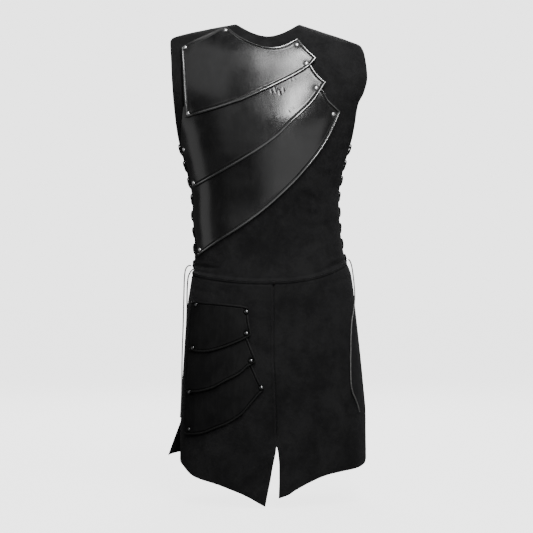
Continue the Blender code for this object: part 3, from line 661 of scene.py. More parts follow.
def makeCord(name, points, diameter, material, closed=False):
    curve = bpy.data.curves.new(name, "CURVE")
    curve.dimensions = "3D"
    curve.bevel_depth = diameter / 2
    curve.bevel_resolution = 3
    curve.use_fill_caps = True
    spline = curve.splines.new("POLY")
    spline.points.add(len(points) - 1)
    for spot, point in zip(spline.points, points):
        spot.co = (*point, 1.0)
    spline.use_cyclic_u = closed
    curve.materials.append(material)
    return addObject(name, curve)


def rowHeight(side, row):
    return lacing["top"] + (lacing["foot"][side] - lacing["top"]) * row / (lacing["rows"] - 1)


def knotPlace(side):
    return onSide(side, 0.0, rowHeight(side, lacing["rows"] - 1) - lacing["knotDrop"], lacing["knotOut"])


holeDepth = body["lacingHalfGap"] + lacing["holeInset"]


def strandPoints(side, firstEdge, over):
    points = []
    edge = firstEdge
    for row in range(lacing["rows"] - 1):
        top, foot = rowHeight(side, row), rowHeight(side, row + 1)
        for share, out in lacing["strand"]:
            if out is None:
                out = lacing["over"] if over else lacing["under"]
            depth = edge * (holeDepth - 2 * holeDepth * share)
            points.append(onSide(side, depth, top + (foot - top) * share, out))
        edge = -edge
    foot = rowHeight(side, lacing["rows"] - 1)
    for share, drop, out in lacing["lastStrand"]:
        points.append(onSide(side, edge * holeDepth * share, foot - lacing["knotDrop"] * drop, out))
    points.append(onSide(side, edge * lacing["knotReach"], foot - lacing["knotDrop"], lacing["knotOut"]))
    return points


def knotPoints(centre, size, turn, count=60):
    # an overhand knot pulled small
    points = []
    for step in range(count):
        t = 2 * math.pi * step / count
        across, height = math.sin(t) + 2 * math.sin(2 * t), math.cos(t) - 2 * math.cos(2 * t)
        loop = Vector((across, -math.sin(3 * t), height))
        points.append(centre + Matrix.Rotation(turn, 3, "Z") @ loop * size)
    return points


def declare(thing, node, slot):
    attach(thing, "root")
    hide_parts(node)
    return thing


for name, side, out, up, length, route in lacing["ends"]:
    away = Vector((side * out, 0, up))
    start = knotPlace(side) + away * lacing["endStart" if out else "innerEndStart"]
    straight = start + away * lacing["endStraight"]
    points = [start] + smoothRoute([straight, *route], lacing["endSpacing"])
    # the front ends take the paler copy, a painted highlight; the end at the back takes the darker copy, a
    # painted shade
    cord = makeCord(name + "_cord", points, lacing["diameter"], highlitLace if out else shadedLace)
    declare(cord, name, "lace")

for name, side in (("left", -1), ("right", 1)):
    front = strandPoints(side, -1, True)
    behind = strandPoints(side, 1, False)
    bar = [onSide(side, depth, lacing["top"], lacing["barOut"]) for depth in lacing["barDepths"]]
    route = smoothRoute(front[::-1] + bar + behind, lacing["spacing"])
    lace = makeCord(f"lace_{name}_cord", route, lacing["diameter"], laceLeather)
    declare(lace, "lace_" + name, "lace")
    loop = knotPoints(knotPlace(side), lacing["knotSize"], math.radians(lacing["knotTurn"][side]))
    knot = makeCord(f"knot_{name}_cord", loop, lacing["diameter"], laceLeather, closed=True)
    declare(knot, "lace_knot_" + name, "lace")
print("laces made")


# Sheets of suede and leather
class Sheet:
    # a grid of points with its distances, in metres, from its four edges
    def __init__(self, name, columns, rows, place):
        self.name = name
        self.columns, self.rows = columns, rows
        self.mesh = bmesh.new()
        self.layers = {shade: self.mesh.verts.layers.float.new(shade) for shade in ("rim", "hollow")}
        bmesh.ops.create_grid(self.mesh, x_segments=columns, y_segments=rows, size=0.5)
        order = sorted(self.mesh.verts, key=lambda vertex: (-round(vertex.co.y, 5), round(vertex.co.x, 5)))
        self.grid = [order[row * (columns + 1):(row + 1) * (columns + 1)] for row in range(rows + 1)]
        for row, line in enumerate(self.grid):
            for column, vertex in enumerate(line):
                vertex.co = place(column / columns, row / rows)
        self.mesh.normal_update()
        self.measure()

    def measure(self):
        self.left = [self.run(line) for line in self.grid]
        self.right = [[line[-1] - value for value in line] for line in self.left]
        down = [self.run(line) for line in zip(*self.grid)]
        self.top = [list(line) for line in zip(*down)]
        self.foot = [list(line) for line in zip(*[[line[-1] - value for value in line] for line in down])]

    def run(self, line):
        lengths = [0.0]
        for first, second in zip(line, line[1:]):
            lengths.append(lengths[-1] + (second.co - first.co).length)
        return lengths

    def spots(self):
        # each point with its distances from the left, right, top and foot
        for row, line in enumerate(self.grid):
            for column, vertex in enumerate(line):
                yield vertex, [table[row][column] for table in (self.left, self.right, self.top, self.foot)]

    def shape(self, relief):
        # moves each point out along its normal by relief(point, left, right, top, foot)
        moves = [(vertex, vertex.normal * relief(vertex.co, *edges)) for vertex, edges in self.spots()]
        for vertex, move in moves:
            vertex.co += move
        self.mesh.normal_update()

    def lineAt(self, edge, distance):
        # points and normals along one edge, at a distance inside it
        lines, table = self.grid, getattr(self, edge)
        if edge in ("top", "foot"):
            lines, table = zip(*lines), zip(*table)
        result = []
        for line, values in zip(lines, table):
            for start, end, first, second in zip(line, line[1:], values, values[1:]):
                if min(first, second) <= distance <= max(first, second) and first != second:
                    share = (distance - first) / (second - first)
                    result.append((start.co.lerp(end.co, share), start.normal.lerp(end.normal, share)))
                    break
        return result

    def finish(self, material, thickness, holes=None, sharpDegrees=48, **shades):
        # each shade is a function of a point and its distances, kept on the mesh for the material
        for layer, shade in shades.items():
            for vertex, edges in self.spots():
                vertex[self.layers[layer]] = shade(vertex.co, *edges)
        mesh = bpy.data.meshes.new(self.name)
        self.mesh.to_mesh(mesh)
        mesh.shade_smooth()
        mesh.materials.append(material)
        thing = addObject(self.name, mesh)
        wall = thing.modifiers.new("wall", "SOLIDIFY")
        wall.thickness = thickness
        wall.offset = -1
        if holes is not None:
            cut = thing.modifiers.new("holes", "BOOLEAN")
            cut.operation = "DIFFERENCE"
            cut.solver = "EXACT"
            cut.object = holes
        baked = bpy.data.meshes.new_from_object(thing.evaluated_get(bpy.context.evaluated_depsgraph_get()))
        thing.modifiers.clear()
        thing.data = baked
        bpy.data.meshes.remove(mesh)
        baked.name = self.name
        baked.set_sharp_from_angle(angle=math.radians(sharpDegrees))
        return thing


# The share of its depth that a crease keeps at its ends
creaseEnd = 0.35


def crease(point, table):
    # rows: start across and height, end across and height, half width, depth (out where positive)
    total = 0.0
    for startX, startZ, endX, endZ, width, depth in table:
        alongX, alongZ = endX - startX, endZ - startZ
        share = ((point.x - startX) * alongX + (point.z - startZ) * alongZ) / (alongX ** 2 + alongZ ** 2)
        held = min(max(share, 0.0), 1.0)
        gap = math.hypot(point.x - startX - alongX * held, point.z - startZ - alongZ * held)
        if gap < 3 * width:
            total += depth * bell(gap, width) * (creaseEnd + (1 - creaseEnd) * math.sin(math.pi * held))
    return total


# How a worn hide is uneven: the spread and the height of its broad and its fine waves
wornHide = {"broad": (13, 0.0011), "fine": (38, 0.00035), "calmEdge": 0.03}


def softness(point, seed):
    total = 0.0
    for wave, shift in (("broad", seed), ("fine", -seed)):
        spread, height = wornHide[wave]
        total += noise.noise(Vector((point.x, point.y, point.z + shift)) * spread) * height
    return total


def makeHoles(name, edge):
    punches = bmesh.new()
    punch, radius = lacing["punch"], lacing["holeDiameter"] / 2
    size = {"radius1": radius, "radius2": radius, "depth": punch["depth"], "segments": punch["segments"]}
    for side in (-1, 1):
        for row in range(lacing["rows"]):
            height = rowHeight(side, row)
            centre = onSide(side, edge * holeDepth, height, punch["start"])
            direction = (onSide(side, edge * holeDepth, height, punch["towards"]) - centre).normalized()
            turned = direction.to_track_quat("Z", "Y").to_matrix().to_4x4()
            turned.translation = centre
            bmesh.ops.create_cone(punches, cap_ends=True, matrix=turned, **size)
    return addMesh(name, punches)


# Body panels
waist = {
    "centre": -0.5472,
    "rise": {-1: 0.0185, 1: 0.0420},
    "curve": 2.3,
    "lap": 0.0040,
    "sideHeight": -0.530,
}
bodyPanels = {
    "shoulderColumns": 46,
    "neckColumns": 52,
    "rows": 176,
    "blendHeight": -0.12,
    "thickness": 0.0020,
    "lap": (0.016, 0.0013),
    "waistRidges": ((0.0055, 0.0024, 0.0012), (0.0110, 0.0030, -0.0007)),
    "hem": {"width": 0.009, "rise": 0.0005, "slope": 0.003, "edge": 0.0016},
    "crowding": 0.45,
    "creaseFade": 0.012,
    "seeds": (0.0, 3.7),
    "flats": ((0.560, 0.590, 0.272), (0.560, 0.600, 0.272)),
    "frontCreases": (
        (0.0748, -0.3535, 0.1155, -0.3749, 0.0060, -0.0016),
        (0.0900, -0.3665, 0.1010, -0.3705, 0.0110, -0.0022),
        (0.0640, -0.3560, 0.0727, -0.3813, 0.0050, 0.0011),
        (0.0780, -0.3860, 0.1120, -0.3880, 0.0055, 0.0012),
        (0.0800, -0.4340, 0.0850, -0.4460, 0.0040, 0.0011),
        (0.0050, -0.4330, 0.0270, -0.4620, 0.0110, -0.0016),
        (0.0240, -0.4840, 0.0420, -0.4950, 0.0100, -0.0014),
        (-0.0400, -0.4380, -0.0240, -0.4600, 0.0090, 0.0012),
        (0.0640, -0.4700, 0.1150, -0.4560, 0.0075, -0.0011),
        (0.1000, -0.4260, 0.1500, -0.4120, 0.0070, -0.0013),
        (-0.1560, -0.5105, -0.1050, -0.5150, 0.0042, -0.0022),
        (-0.1560, -0.5010, -0.1180, -0.5060, 0.0042, 0.0012),
        (-0.1500, -0.5230, -0.0800, -0.5270, 0.0060, -0.0010),
        (0.1700, -0.4990, 0.1219, -0.5151, 0.0042, -0.0024),
        (0.1650, -0.4880, 0.1300, -0.5020, 0.0045, 0.0013),
        (0.1650, -0.5090, 0.1000, -0.5290, 0.0060, -0.0011),
        (0.1560, -0.3000, 0.1250, -0.3180, 0.0060, -0.0012),
        (0.1560, -0.3400, 0.1300, -0.3360, 0.0050, -0.0010),
        (0.1780, -0.2450, 0.1450, -0.2750, 0.0070, -0.0014),
        (0.1900, -0.1900, 0.1550, -0.2400, 0.0080, 0.0012),
        (0.1250, -0.1150, 0.1700, -0.1500, 0.0120, -0.0016),
        (-0.0200, -0.5080, 0.0600, -0.5050, 0.0080, -0.0008),
    ),
    "backCreases": (
        (0.1500, -0.3550, 0.0600, -0.3850, 0.0080, -0.0022),
        (0.1480, -0.3850, 0.0400, -0.3980, 0.0070, 0.0016),
        (0.1500, -0.4150, 0.0700, -0.4180, 0.0070, -0.0020),
        (-0.1500, -0.3600, -0.0500, -0.3780, 0.0080, -0.0021),
        (-0.1500, -0.3900, -0.0300, -0.4030, 0.0075, 0.0016),
        (-0.1480, -0.4250, -0.0600, -0.4200, 0.0070, -0.0018),
        (0.1600, -0.4900, 0.0900, -0.5080, 0.0060, -0.0020),
        (-0.1560, -0.4980, -0.0850, -0.5120, 0.0060, -0.0020),
        (0.1750, -0.2600, 0.1200, -0.2950, 0.0080, -0.0016),
        (-0.1850, -0.2600, -0.1300, -0.3000, 0.0080, -0.0016),
        (0.0100, -0.1200, 0.0150, -0.3000, 0.0200, -0.0016),
        (0.1400, -0.0900, 0.0900, -0.1900, 0.0160, -0.0016),
        (-0.1450, -0.0900, -0.1000, -0.2000, 0.0160, -0.0018),
        (-0.0200, -0.4560, 0.0300, -0.4700, 0.0100, -0.0012),
    ),
}


def waistHeight(around):
    sine = math.sin(math.radians(around))
    side = -1 if sine < 0 else 1
    return waist["centre"] + waist["rise"][side] * abs(sine) ** waist["curve"]


def sideAngle(height, side):
    return math.degrees(math.asin(min(1.0, outline[side](height) / halfWidth[side](height))))


def shoulderHeight(across, side):
    low, high = body["tipHeight"][side], body["neckHeight"]
    for step in range(30):
        middle = (low + high) / 2
        if outline[side](middle) > abs(across):
            low = middle
        else:
            high = middle
    return high


def topEdgeHeight(across, side, neckDrop):
    neck = outline[side](body["neckHeight"])
    if abs(across) >= neck:
        return shoulderHeight(across, side)
    return neckDrop + (body["neckHeight"] - neckDrop) * (abs(across) / neck) ** body["neckCurve"]


def columnShare(share):
    # columns are set so that one meets each corner of the neck
    shoulder, neck = bodyPanels["shoulderColumns"], bodyPanels["neckColumns"]
    total = 2 * shoulder + neck
    column = share * total
    side = -1 if share < 0.5 else 1
    corner = outline[side](body["neckHeight"]) / outline[side](body["tipHeight"][side])
    fromEnd = min(column, total - column)
    if fromEnd <= shoulder:
        return side * (1 - (1 - corner) * fromEnd / shoulder)
    return side * corner * (total / 2 - fromEnd) / (neck / 2)


def crowded(down, share):
    # rows set closer at the top and foot of a panel
    return down - share * math.sin(2 * math.pi * down) / (2 * math.pi)


def bodyPlace(back):
    neckDrop = body["backNeckDrop"] if back else body["frontNeckDrop"]
    tops = {}

    def place(share, down):
        if back:
            share = 1 - share
        across = columnShare(share)
        side = -1 if across < 0 else 1
        tip = body["tipHeight"][side]
        if share not in tops:
            tops[share] = topEdgeHeight(across * outline[side](tip), side, neckDrop)
        top = tops[share]
        foot = waistHeight(across * sideAngle(waist["sideHeight"], side))
        height = top - (top - foot) * crowded(down, bodyPanels["crowding"])
        level = min(height, tip)
        angle = math.radians(sideAngle(level, side))
        ringShare = math.sin(abs(across) * angle) / math.sin(angle)
        mix = smoothStep((height - bodyPanels["blendHeight"]) / (top - bodyPanels["blendHeight"]))
        x = side * outline[side](level) * (ringShare + (abs(across) - ringShare) * mix)
        around = frontAngle(x, height)
        point = form(180 - around if back else around, height)
        point.y = max(point.y, 0.0) if back else min(point.y, 0.0)
        return point

    return place


def bodyRelief(creases, seed):
    (lapWidth, lapRise), hem = bodyPanels["lap"], bodyPanels["hem"]

    def relief(point, left, right, top, foot):
        value = softness(point, seed) * smoothStep(min(left, right, top, foot) / wornHide["calmEdge"])
        value += crease(point, creases) * smoothStep(foot / bodyPanels["creaseFade"])
        value += lapRise * smoothStep(1 - foot / lapWidth) + ridges(foot, bodyPanels["waistRidges"])
        inside = min(left, right, top) if point.z > body["pitHeight"] else top
        raised = smoothStep((hem["width"] - inside) / hem["slope"])
        return value + hem["rise"] * (raised - smoothStep((hem["edge"] - inside) / hem["edge"]))

    return relief


columnsOfBody = 2 * bodyPanels["shoulderColumns"] + bodyPanels["neckColumns"]
sheets = {}
for back, name, creases in ((0, "front_body", "frontCreases"), (1, "back_body", "backCreases")):
    sheet = Sheet(name + "_suede", columnsOfBody, bodyPanels["rows"], bodyPlace(back))
    sheet.shape(bodyRelief(bodyPanels[creases], bodyPanels["seeds"][back]))
    holes = makeHoles(name + "_punches", 1 if back else -1)
    panel = sheet.finish(suede, bodyPanels["thickness"], holes=holes)
    bpy.data.objects.remove(holes, do_unlink=True)
    declare(panel, name, "suede")
    width, length, area = bodyPanels["flats"][back]
    sheets[name] = sheet
    print(name, "made")


# Skirt panels
skirt = {
    "thickness": 0.0020,
    "columns": 92,
    "backColumns": 180,
    "rows": 128,
    "centreSeam": ((-0.548, 0.0116), (-0.700, 0.0116), (-0.751, 0.0140), (-0.820, 0.0164), (-0.888, 0.0176)),
    "slitTop": -0.8880,
    "slit": (  # height, left panel's edge, right panel's edge
        (-0.8880, 0.0176, 0.0176), (-0.8990, 0.0168, 0.0200), (-0.9120, 0.0145, 0.0218),
        (-0.9330, 0.0100, 0.0232), (-0.9610, 0.0052, 0.0232), (-0.9900, -0.0008, 0.0224),
        (-1.0200, -0.0066, 0.0212),
    ),
    "hem": (  # degrees from the centre, left, right
        (0, -1.0180, -1.0000), (6, -1.0085, -0.9925), (10, -1.0020, -0.9838), (20, -0.9880, -0.9680),
        (35, -0.9730, -0.9525), (55, -0.9615, -0.9450), (73, -0.9430, -0.9405), (90, -0.9340, -0.9320),
    ),
    "backHem": -0.929,
    "sideSlitTop": -0.852,
    "sideFlare": 0.0270,
    "flareDegrees": 45,
    "swingBack": 0.004,
    "tuck": 0.0002,
    "tuckFade": 0.02,
    "crowding": 0.35,
    "sideCrowding": 1.6,
    "seed": 7.3,
    "seedStep": 2.1,
    "seamFade": 0.03,
    "waistRidge": ((0.0100, 0.0022, 0.0004),),
    "waistTuck": {"depth": 0.0011, "reach": 0.0045, "fade": 0.0040},
    "seamRidges": {  # distance in, half width, height
        -1: ((0.0, 0.0016, -0.0026), (0.0042, 0.0020, 0.0016)),
        1: ((0.0, 0.0016, -0.0026), (0.0042, 0.0020, 0.0004)),
    },
    "notch": {"width": 0.0040, "depth": 0.0034, "reach": 0.010, "fade": 0.006},
    "sideLap": (0.012, 0.0011),
    "backSideTuck": (0.012, 0.0013),
    "hemWave": (30, 0.0007, 0.05),
    "frontFlat": (0.320, 0.500, 0.125),
    "backFlat": (0.560, 0.420, 0.205),
    "leftCreases": (
        (-0.1650, -0.5600, -0.1150, -0.5700, 0.0060, -0.0012),
        (-0.0250, -0.5700, -0.0150, -0.6400, 0.0100, -0.0010),
        (-0.1100, -0.9000, -0.0900, -0.9600, 0.0150, 0.0014),
        (-0.0300, -0.8600, -0.0200, -0.9700, 0.0140, -0.0014),
        (-0.1500, -0.8900, -0.1350, -0.9450, 0.0120, -0.0012),
        (0.0000, -0.7600, 0.0020, -0.8600, 0.0080, 0.0008),
    ),
    "rightCreases": (
        (0.1750, -0.5350, 0.1250, -0.5500, 0.0060, -0.0014),
        (0.0500, -0.6200, 0.0850, -0.6500, 0.0120, 0.0012),
        (0.0900, -0.6700, 0.0700, -0.7300, 0.0140, -0.0014),
        (0.1350, -0.6700, 0.1300, -0.8300, 0.0160, -0.0012),
        (0.0800, -0.8600, 0.0850, -0.9500, 0.0150, 0.0014),
        (0.1450, -0.8500, 0.1550, -0.9300, 0.0140, -0.0012),
        (0.0400, -0.7800, 0.0450, -0.9000, 0.0120, -0.0010),
    ),
    "backCreases": (
        (0.1000, -0.5700, 0.1100, -0.6700, 0.0100, -0.0020),
        (-0.1100, -0.5700, -0.1150, -0.6600, 0.0100, -0.0020),
        (0.0300, -0.5800, 0.0350, -0.6900, 0.0110, -0.0014),
        (-0.0400, -0.5800, -0.0420, -0.6700, 0.0100, 0.0014),
    ),
}


def seamAcross(side, height):
    if height > skirt["slitTop"]:
        return readTable(skirt["centreSeam"], 1, height)
    return readTable(skirt["slit"], 1 if side < 0 else 2, height)


seamLines = {side: sampled(lambda height, side=side: seamAcross(side, height)) for side in (-1, 1)}


def skirtFrontPlace(side):
    column = 1 if side < 0 else 2
    waistCentre = frontAngle(skirt["centreSeam"][0][1], waist["centre"])
    feet = {}

    def place(share, down):
        fromSide = 1 - (1 - share if side < 0 else share) ** skirt["sideCrowding"]
        if share not in feet:
            feet[share] = readTable(skirt["hem"], column, 90 * (1 - fromSide))
        waistAngle = side * 90 + (waistCentre - side * 90) * fromSide
        top = waistHeight(waistAngle) + waist["lap"]
        foot = feet[share]
        height = top + (foot - top) * crowded(down, skirt["crowding"])
        tucked = skirt["tuck"] * smoothStep((height - skirt["slitTop"]) / skirt["tuckFade"])
        edge = seamLines[side](height) - side * tucked
        centre = frontAngle(edge, height)
        around = side * 90 + (centre - side * 90) * fromSide
        point = form(around, height)
        point.y = min(point.y, 0.0)
        return point

    return place


def skirtBackPlace(share, down):
    around = 90 + 180 * share
    top = waistHeight(around) + waist["lap"]
    height = top + (skirt["backHem"] - top) * crowded(down, skirt["crowding"])
    point = form(around, height)
    point.y = max(point.y, 0.0)
    if height < skirt["sideSlitTop"]:
        swing = smoothStep((around - 270) / skirt["flareDegrees"] + 1)
        otherSwing = smoothStep((90 - around) / skirt["flareDegrees"] + 1)
        drop = (skirt["sideSlitTop"] - height) / (skirt["sideSlitTop"] - skirt["backHem"])
        point.x -= skirt["sideFlare"] * drop * swing
        point.y += skirt["swingBack"] * drop * (swing + otherSwing)
    return point


def skirtRelief(kind, creases, seed):
    # kind is -1 or 1 for a front panel on that side, and 0 for the back
    notch, waistTuck = skirt["notch"], skirt["waistTuck"]
    lapWidth, lapRise = skirt["sideLap"]
    tuckWidth, tuckDepth = skirt["backSideTuck"]
    waves, waveHeight, waveReach = skirt["hemWave"]

    def relief(point, left, right, top, foot):
        value = softness(point, seed) * smoothStep(min(left, right, top) / wornHide["calmEdge"])
        value += crease(point, creases)
        value += ridges(top, skirt["waistRidge"])
        value -= waistTuck["depth"] * smoothStep(1 - (top - waistTuck["reach"]) / waistTuck["fade"])
        held = smoothStep((point.z - skirt["slitTop"]) / skirt["seamFade"])
        sideHeld = smoothStep((point.z - skirt["sideSlitTop"]) / skirt["seamFade"])
        if kind:
            inner, outer = (right, left) if kind < 0 else (left, right)
            value += held * ridges(inner, skirt["seamRidges"][kind])
            high = smoothStep(1 - (top - notch["reach"]) / notch["fade"])
            value -= notch["depth"] * bell(inner, notch["width"]) * high
            value += sideHeld * lapRise * smoothStep(1 - outer / lapWidth)
        else:
            value -= sideHeld * tuckDepth * smoothStep(1 - min(left, right) / tuckWidth)
        wave = noise.noise(Vector((point.x, point.y, seed)) * waves)
        return value + waveHeight * wave * smoothStep(1 - foot / waveReach)

    return relief


for name, kind, creases in (
    ("skirt_front_left", -1, "leftCreases"),
    ("skirt_front_right", 1, "rightCreases"),
    ("skirt_back", 0, "backCreases"),
):
    place = skirtFrontPlace(kind) if kind else skirtBackPlace
    columns = skirt["columns"] if kind else skirt["backColumns"]
    sheet = Sheet(name + "_suede", columns, skirt["rows"], place)
    sheet.shape(skirtRelief(kind, skirt[creases], skirt["seed"] + kind * skirt["seedStep"]))
    panel = sheet.finish(suede, skirt["thickness"])
    declare(panel, name, "suede")
    width, length, area = skirt["frontFlat" if kind else "backFlat"]
    sheets[name] = sheet
    print(name, "made")


# Leather plates: an upper or lower edge is a run of places seen from the front, as across, height, True at a
# corner, and the distance out to the leather's edge. A left or right edge has the places between its corners.
plates = {
    "thickness": 0.0025,
    "layGap": 0.0012,
    "shoulderEase": 0.0008,
    "shoulderEaseFoot": -0.060,
    "lapLift": 0.0047,
    "lapCurve": 1.6,
    "coverFade": (0.010, 0.008),
    "spacing": 0.0020,
    "edgeOffsets": (
        0.0, 0.0004, 0.0010, 0.0018, 0.0026, 0.0034, 0.0042,
        0.0048, 0.0052, 0.0058, 0.0065, 0.0075, 0.0090, 0.0110,
    ),
    "shoulderBead": 0.4,
    "shoulderFade": (-0.03, 0.03),
    "dimple": {"reach": 0.018, "place": 0.0030, "width": 0.0048, "depth": 0.0011, "above": 0.006},
    "wave": (22, 0.00012),
    "groove": (0.0010, 0.0008),
    "besideGroove": (0.0032, 0.0011),
    "rimBlend": 0.001,
    # the beads' coat and lighter colour, which is partly a painted highlight, are faded on the plates' left
    # side
    "rimSideFade": {"share": 0.7, "start": -0.14, "length": 0.03},
    # painted shade on the plates: the share of near-black, then a half width, or a reach and the length it
    # fades over
    "grooveShade": (0.7, 0.0009),
    "shoulderShade": {"share": 0.85, "inside": (0.012, 0.004), "height": (-0.03, 0.02)},
    "darkRivet": ((1.0, 0.0085, 0.0025), (0.22, 0.028, 0.020)),
}
topPlate = {
    "upper": (
        (-0.1892, -0.0330, True, 0), (-0.1412, -0.0097, False, 0), (-0.0930, 0.0140, True, 0),
        (-0.0607, -0.0160, False, 0.0020), (-0.0216, -0.0370, False, 0.0035),
        (0.0085, -0.0430, False, 0.0045), (0.0366, -0.0375, False, 0.0045),
        (0.0662, -0.0197, True, 0.0040),
    ),
    "lower": (
        (-0.1795, -0.1854, True, 0.0060), (-0.1135, -0.1696, False, 0.0055),
        (-0.0599, -0.1534, True, 0.0050), (0.0042, -0.1242, False, 0.0050),
        (0.0685, -0.0906, False, 0.0050), (0.0880, -0.0769, False, 0.0040),
        (0.1050, -0.0637, True, 0),
    ),
    "left": ((-0.1837, -0.1060, False),),
    "right": ((0.0821, -0.0408, False),),
}
middlePlate = {
    "upper": (
        (-0.1830, -0.1664, True, 0), (-0.1135, -0.1496, False, 0), (-0.0599, -0.1334, False, 0),
        (0.0042, -0.1042, False, 0), (0.0500, -0.0800, False, 0), (0.0780, -0.0600, True, 0),
    ),
    "lower": (
        (-0.1667, -0.3376, True, 0.0015), (-0.1548, -0.3343, False, 0.0015),
        (-0.1123, -0.3143, False, 0.0010), (-0.0621, -0.2824, False, 0.0055),
        (-0.0178, -0.2535, False, 0.0070), (0.0193, -0.2302, False, 0.0035),
        (0.0504, -0.2026, False, 0.0015), (0.0874, -0.1689, False, 0.0010),
        (0.1023, -0.1517, False, 0.0005), (0.1162, -0.1308, False, 0), (0.1262, -0.1163, True, 0),
    ),
    "left": ((-0.1903, -0.2305, False), (-0.1875, -0.2558, False), (-0.1745, -0.3000, False)),
    "right": ((0.0919, -0.0780, False), (0.1010, -0.0933, False), (0.1130, -0.1063, False)),
}
bottomPlate = {
    "upper": (
        (-0.1680, -0.3190, True, 0), (-0.1548, -0.3143, False, 0), (-0.1123, -0.2943, False, 0),
        (-0.0621, -0.2624, False, 0), (-0.0178, -0.2335, False, 0), (0.0193, -0.2102, False, 0),
        (0.0504, -0.1826, False, 0), (0.0820, -0.1500, False, 0), (0.1020, -0.1150, True, 0),
    ),
    "lower": (
        (-0.1542, -0.4841, True, 0.0040), (-0.1454, -0.4786, False, 0.0035),
        (-0.1033, -0.4530, False, 0.0020), (-0.0585, -0.4228, False, 0.0040),
        (-0.0048, -0.3814, False, 0.0050), (0.0506, -0.3316, False, 0.0040),
        (0.0763, -0.3039, False, 0.0035), (0.1024, -0.2724, False, 0.0035),
        (0.1247, -0.2368, False, 0.0045), (0.1452, -0.1937, False, 0.0045),
        (0.1527, -0.1762, True, 0.0040),
    ),
    "left": ((-0.1630, -0.3634, False), (-0.1636, -0.4077, False), (-0.1572, -0.4521, False)),
    "right": ((0.1173, -0.1321, False), (0.1285, -0.1520, False), (0.1416, -0.1645, False)),
}
hipTopPlate = {
    "upper": (
        (-0.1668, -0.5871, True, 0), (-0.1524, -0.5863, False, 0), (-0.0620, -0.5934, False, 0),
        (-0.0428, -0.5972, True, 0),
    ),
    "lower": (
        (-0.1708, -0.6903, True, 0.0025), (-0.1516, -0.6921, False, 0.0025),
        (-0.1325, -0.6920, False, 0.0020), (-0.1097, -0.6877, False, 0.0010),
        (-0.0839, -0.6791, False, 0.0005), (-0.0580, -0.6678, False, 0.0010),
        (-0.0352, -0.6554, True, 0.0010),
    ),
    "left": ((-0.1686, -0.6410, False),),
    "right": ((-0.0408, -0.6250, False),),
}
hipMiddlePlate = {
    "upper": (
        (-0.1733, -0.6735, True, 0), (-0.1516, -0.6751, False, 0), (-0.1325, -0.6750, False, 0),
        (-0.1097, -0.6707, False, 0), (-0.0839, -0.6621, False, 0), (-0.0510, -0.6455, True, 0),
    ),
    "lower": (
        (-0.1778, -0.7810, True, 0.0020), (-0.1672, -0.7801, False, 0.0025),
        (-0.1447, -0.7751, False, 0.0035), (-0.1186, -0.7673, False, 0.0030),
        (-0.0931, -0.7540, False, 0.0020), (-0.0634, -0.7368, False, 0.0035),
        (-0.0445, -0.7218, False, 0.0025), (-0.0235, -0.7114, True, 0.0005),
    ),
    "left": ((-0.1758, -0.7270, False),),
    "right": ((-0.0437, -0.6629, False), (-0.0310, -0.6940, False)),
}
hipBottomPlate = {
    "upper": (
        (-0.1774, -0.7640, True, 0), (-0.1672, -0.7631, False, 0), (-0.1447, -0.7581, False, 0),
        (-0.1186, -0.7503, False, 0), (-0.0931, -0.7370, False, 0), (-0.0634, -0.7198, False, 0),
        (-0.0400, -0.7048, True, 0),
    ),
    "lower": (
        (-0.1795, -0.8720, True, 0.0025), (-0.1690, -0.8714, False, 0.0025),
        (-0.1399, -0.8660, False, 0.0020), (-0.1142, -0.8549, False, 0.0020),
        (-0.0886, -0.8435, False, 0.0025), (-0.0592, -0.8220, False, 0.0045),
        (-0.0383, -0.8009, False, 0.0025), (-0.0141, -0.7758, False, 0.0010),
        (-0.0086, -0.7714, True, 0.0010),
    ),
    "left": ((-0.1788, -0.8180, False),),
    "right": ((-0.0330, -0.7217, False), (-0.0173, -0.7571, False)),
}
rivets = {
    "diameter": 0.0090,
    "rise": 0.0025,
    "cut": 0.12,
    "seatShare": 0.42,
    "castFrom": 0.03,
    "sharpDegrees": 50,
    "chest": (
        (-0.1781, -0.0367), (-0.0920, 0.0005), (0.0619, -0.0350), (0.0814, -0.0780), (-0.1674, -0.1814),
        (-0.1783, -0.2555), (-0.1552, -0.3280), (0.1019, -0.1313), (0.1394, -0.1846), (-0.1466, -0.4744),
    ),
    "hip": (
        (-0.1533, -0.5939), (-0.0455, -0.6077), (-0.0451, -0.6537), (-0.1568, -0.6873),
        (-0.0356, -0.7114), (-0.1636, -0.7818), (-0.0141, -0.7678), (-0.1680, -0.8615),
    ),
}


def edgeRun(points, count=400):
    # a smooth curve through an edge's points that turns at its corners, read by its share of the length
    lengths = [0.0]
    for first, second in zip(points, points[1:]):
        lengths.append(lengths[-1] + math.dist(first[:2], second[:2]))
    last = len(points) - 1

    def exact(share, axis):
        target = share * lengths[-1]
        index = 0
        while index < last - 1 and lengths[index + 1] < target:
            index += 1
        step = lengths[index + 1] - lengths[index]
        chord = (points[index + 1][axis] - points[index][axis]) / step

        def slope(i):
            if i in (0, last) or points[i][2]:
                return chord
            return (points[i + 1][axis] - points[i - 1][axis]) / (lengths[i + 1] - lengths[i - 1])

        slopes = (slope(index), slope(index + 1))
        t = (target - lengths[index]) / step
        return hermite(points[index][axis], points[index + 1][axis], slopes, step, t)

    runs = [sampled(lambda share, axis=axis: exact(share, axis), 0.0, 1.0, 1 / count) for axis in (0, 1)]
    return lambda share: [run(share) for run in runs]


def movedOut(points, sign):
    # an edge is measured at the bright line of its bead, and each point moves out to the leather's edge
    moved = []
    for index, (x, z, corner, out) in enumerate(points):
        before, after = points[max(index - 1, 0)], points[min(index + 1, len(points) - 1)]
        run, rise = after[0] - before[0], after[1] - before[1]
        reach = sign * out / math.hypot(run, rise)
        moved.append((x + rise * reach, z - run * reach, corner))
    return moved


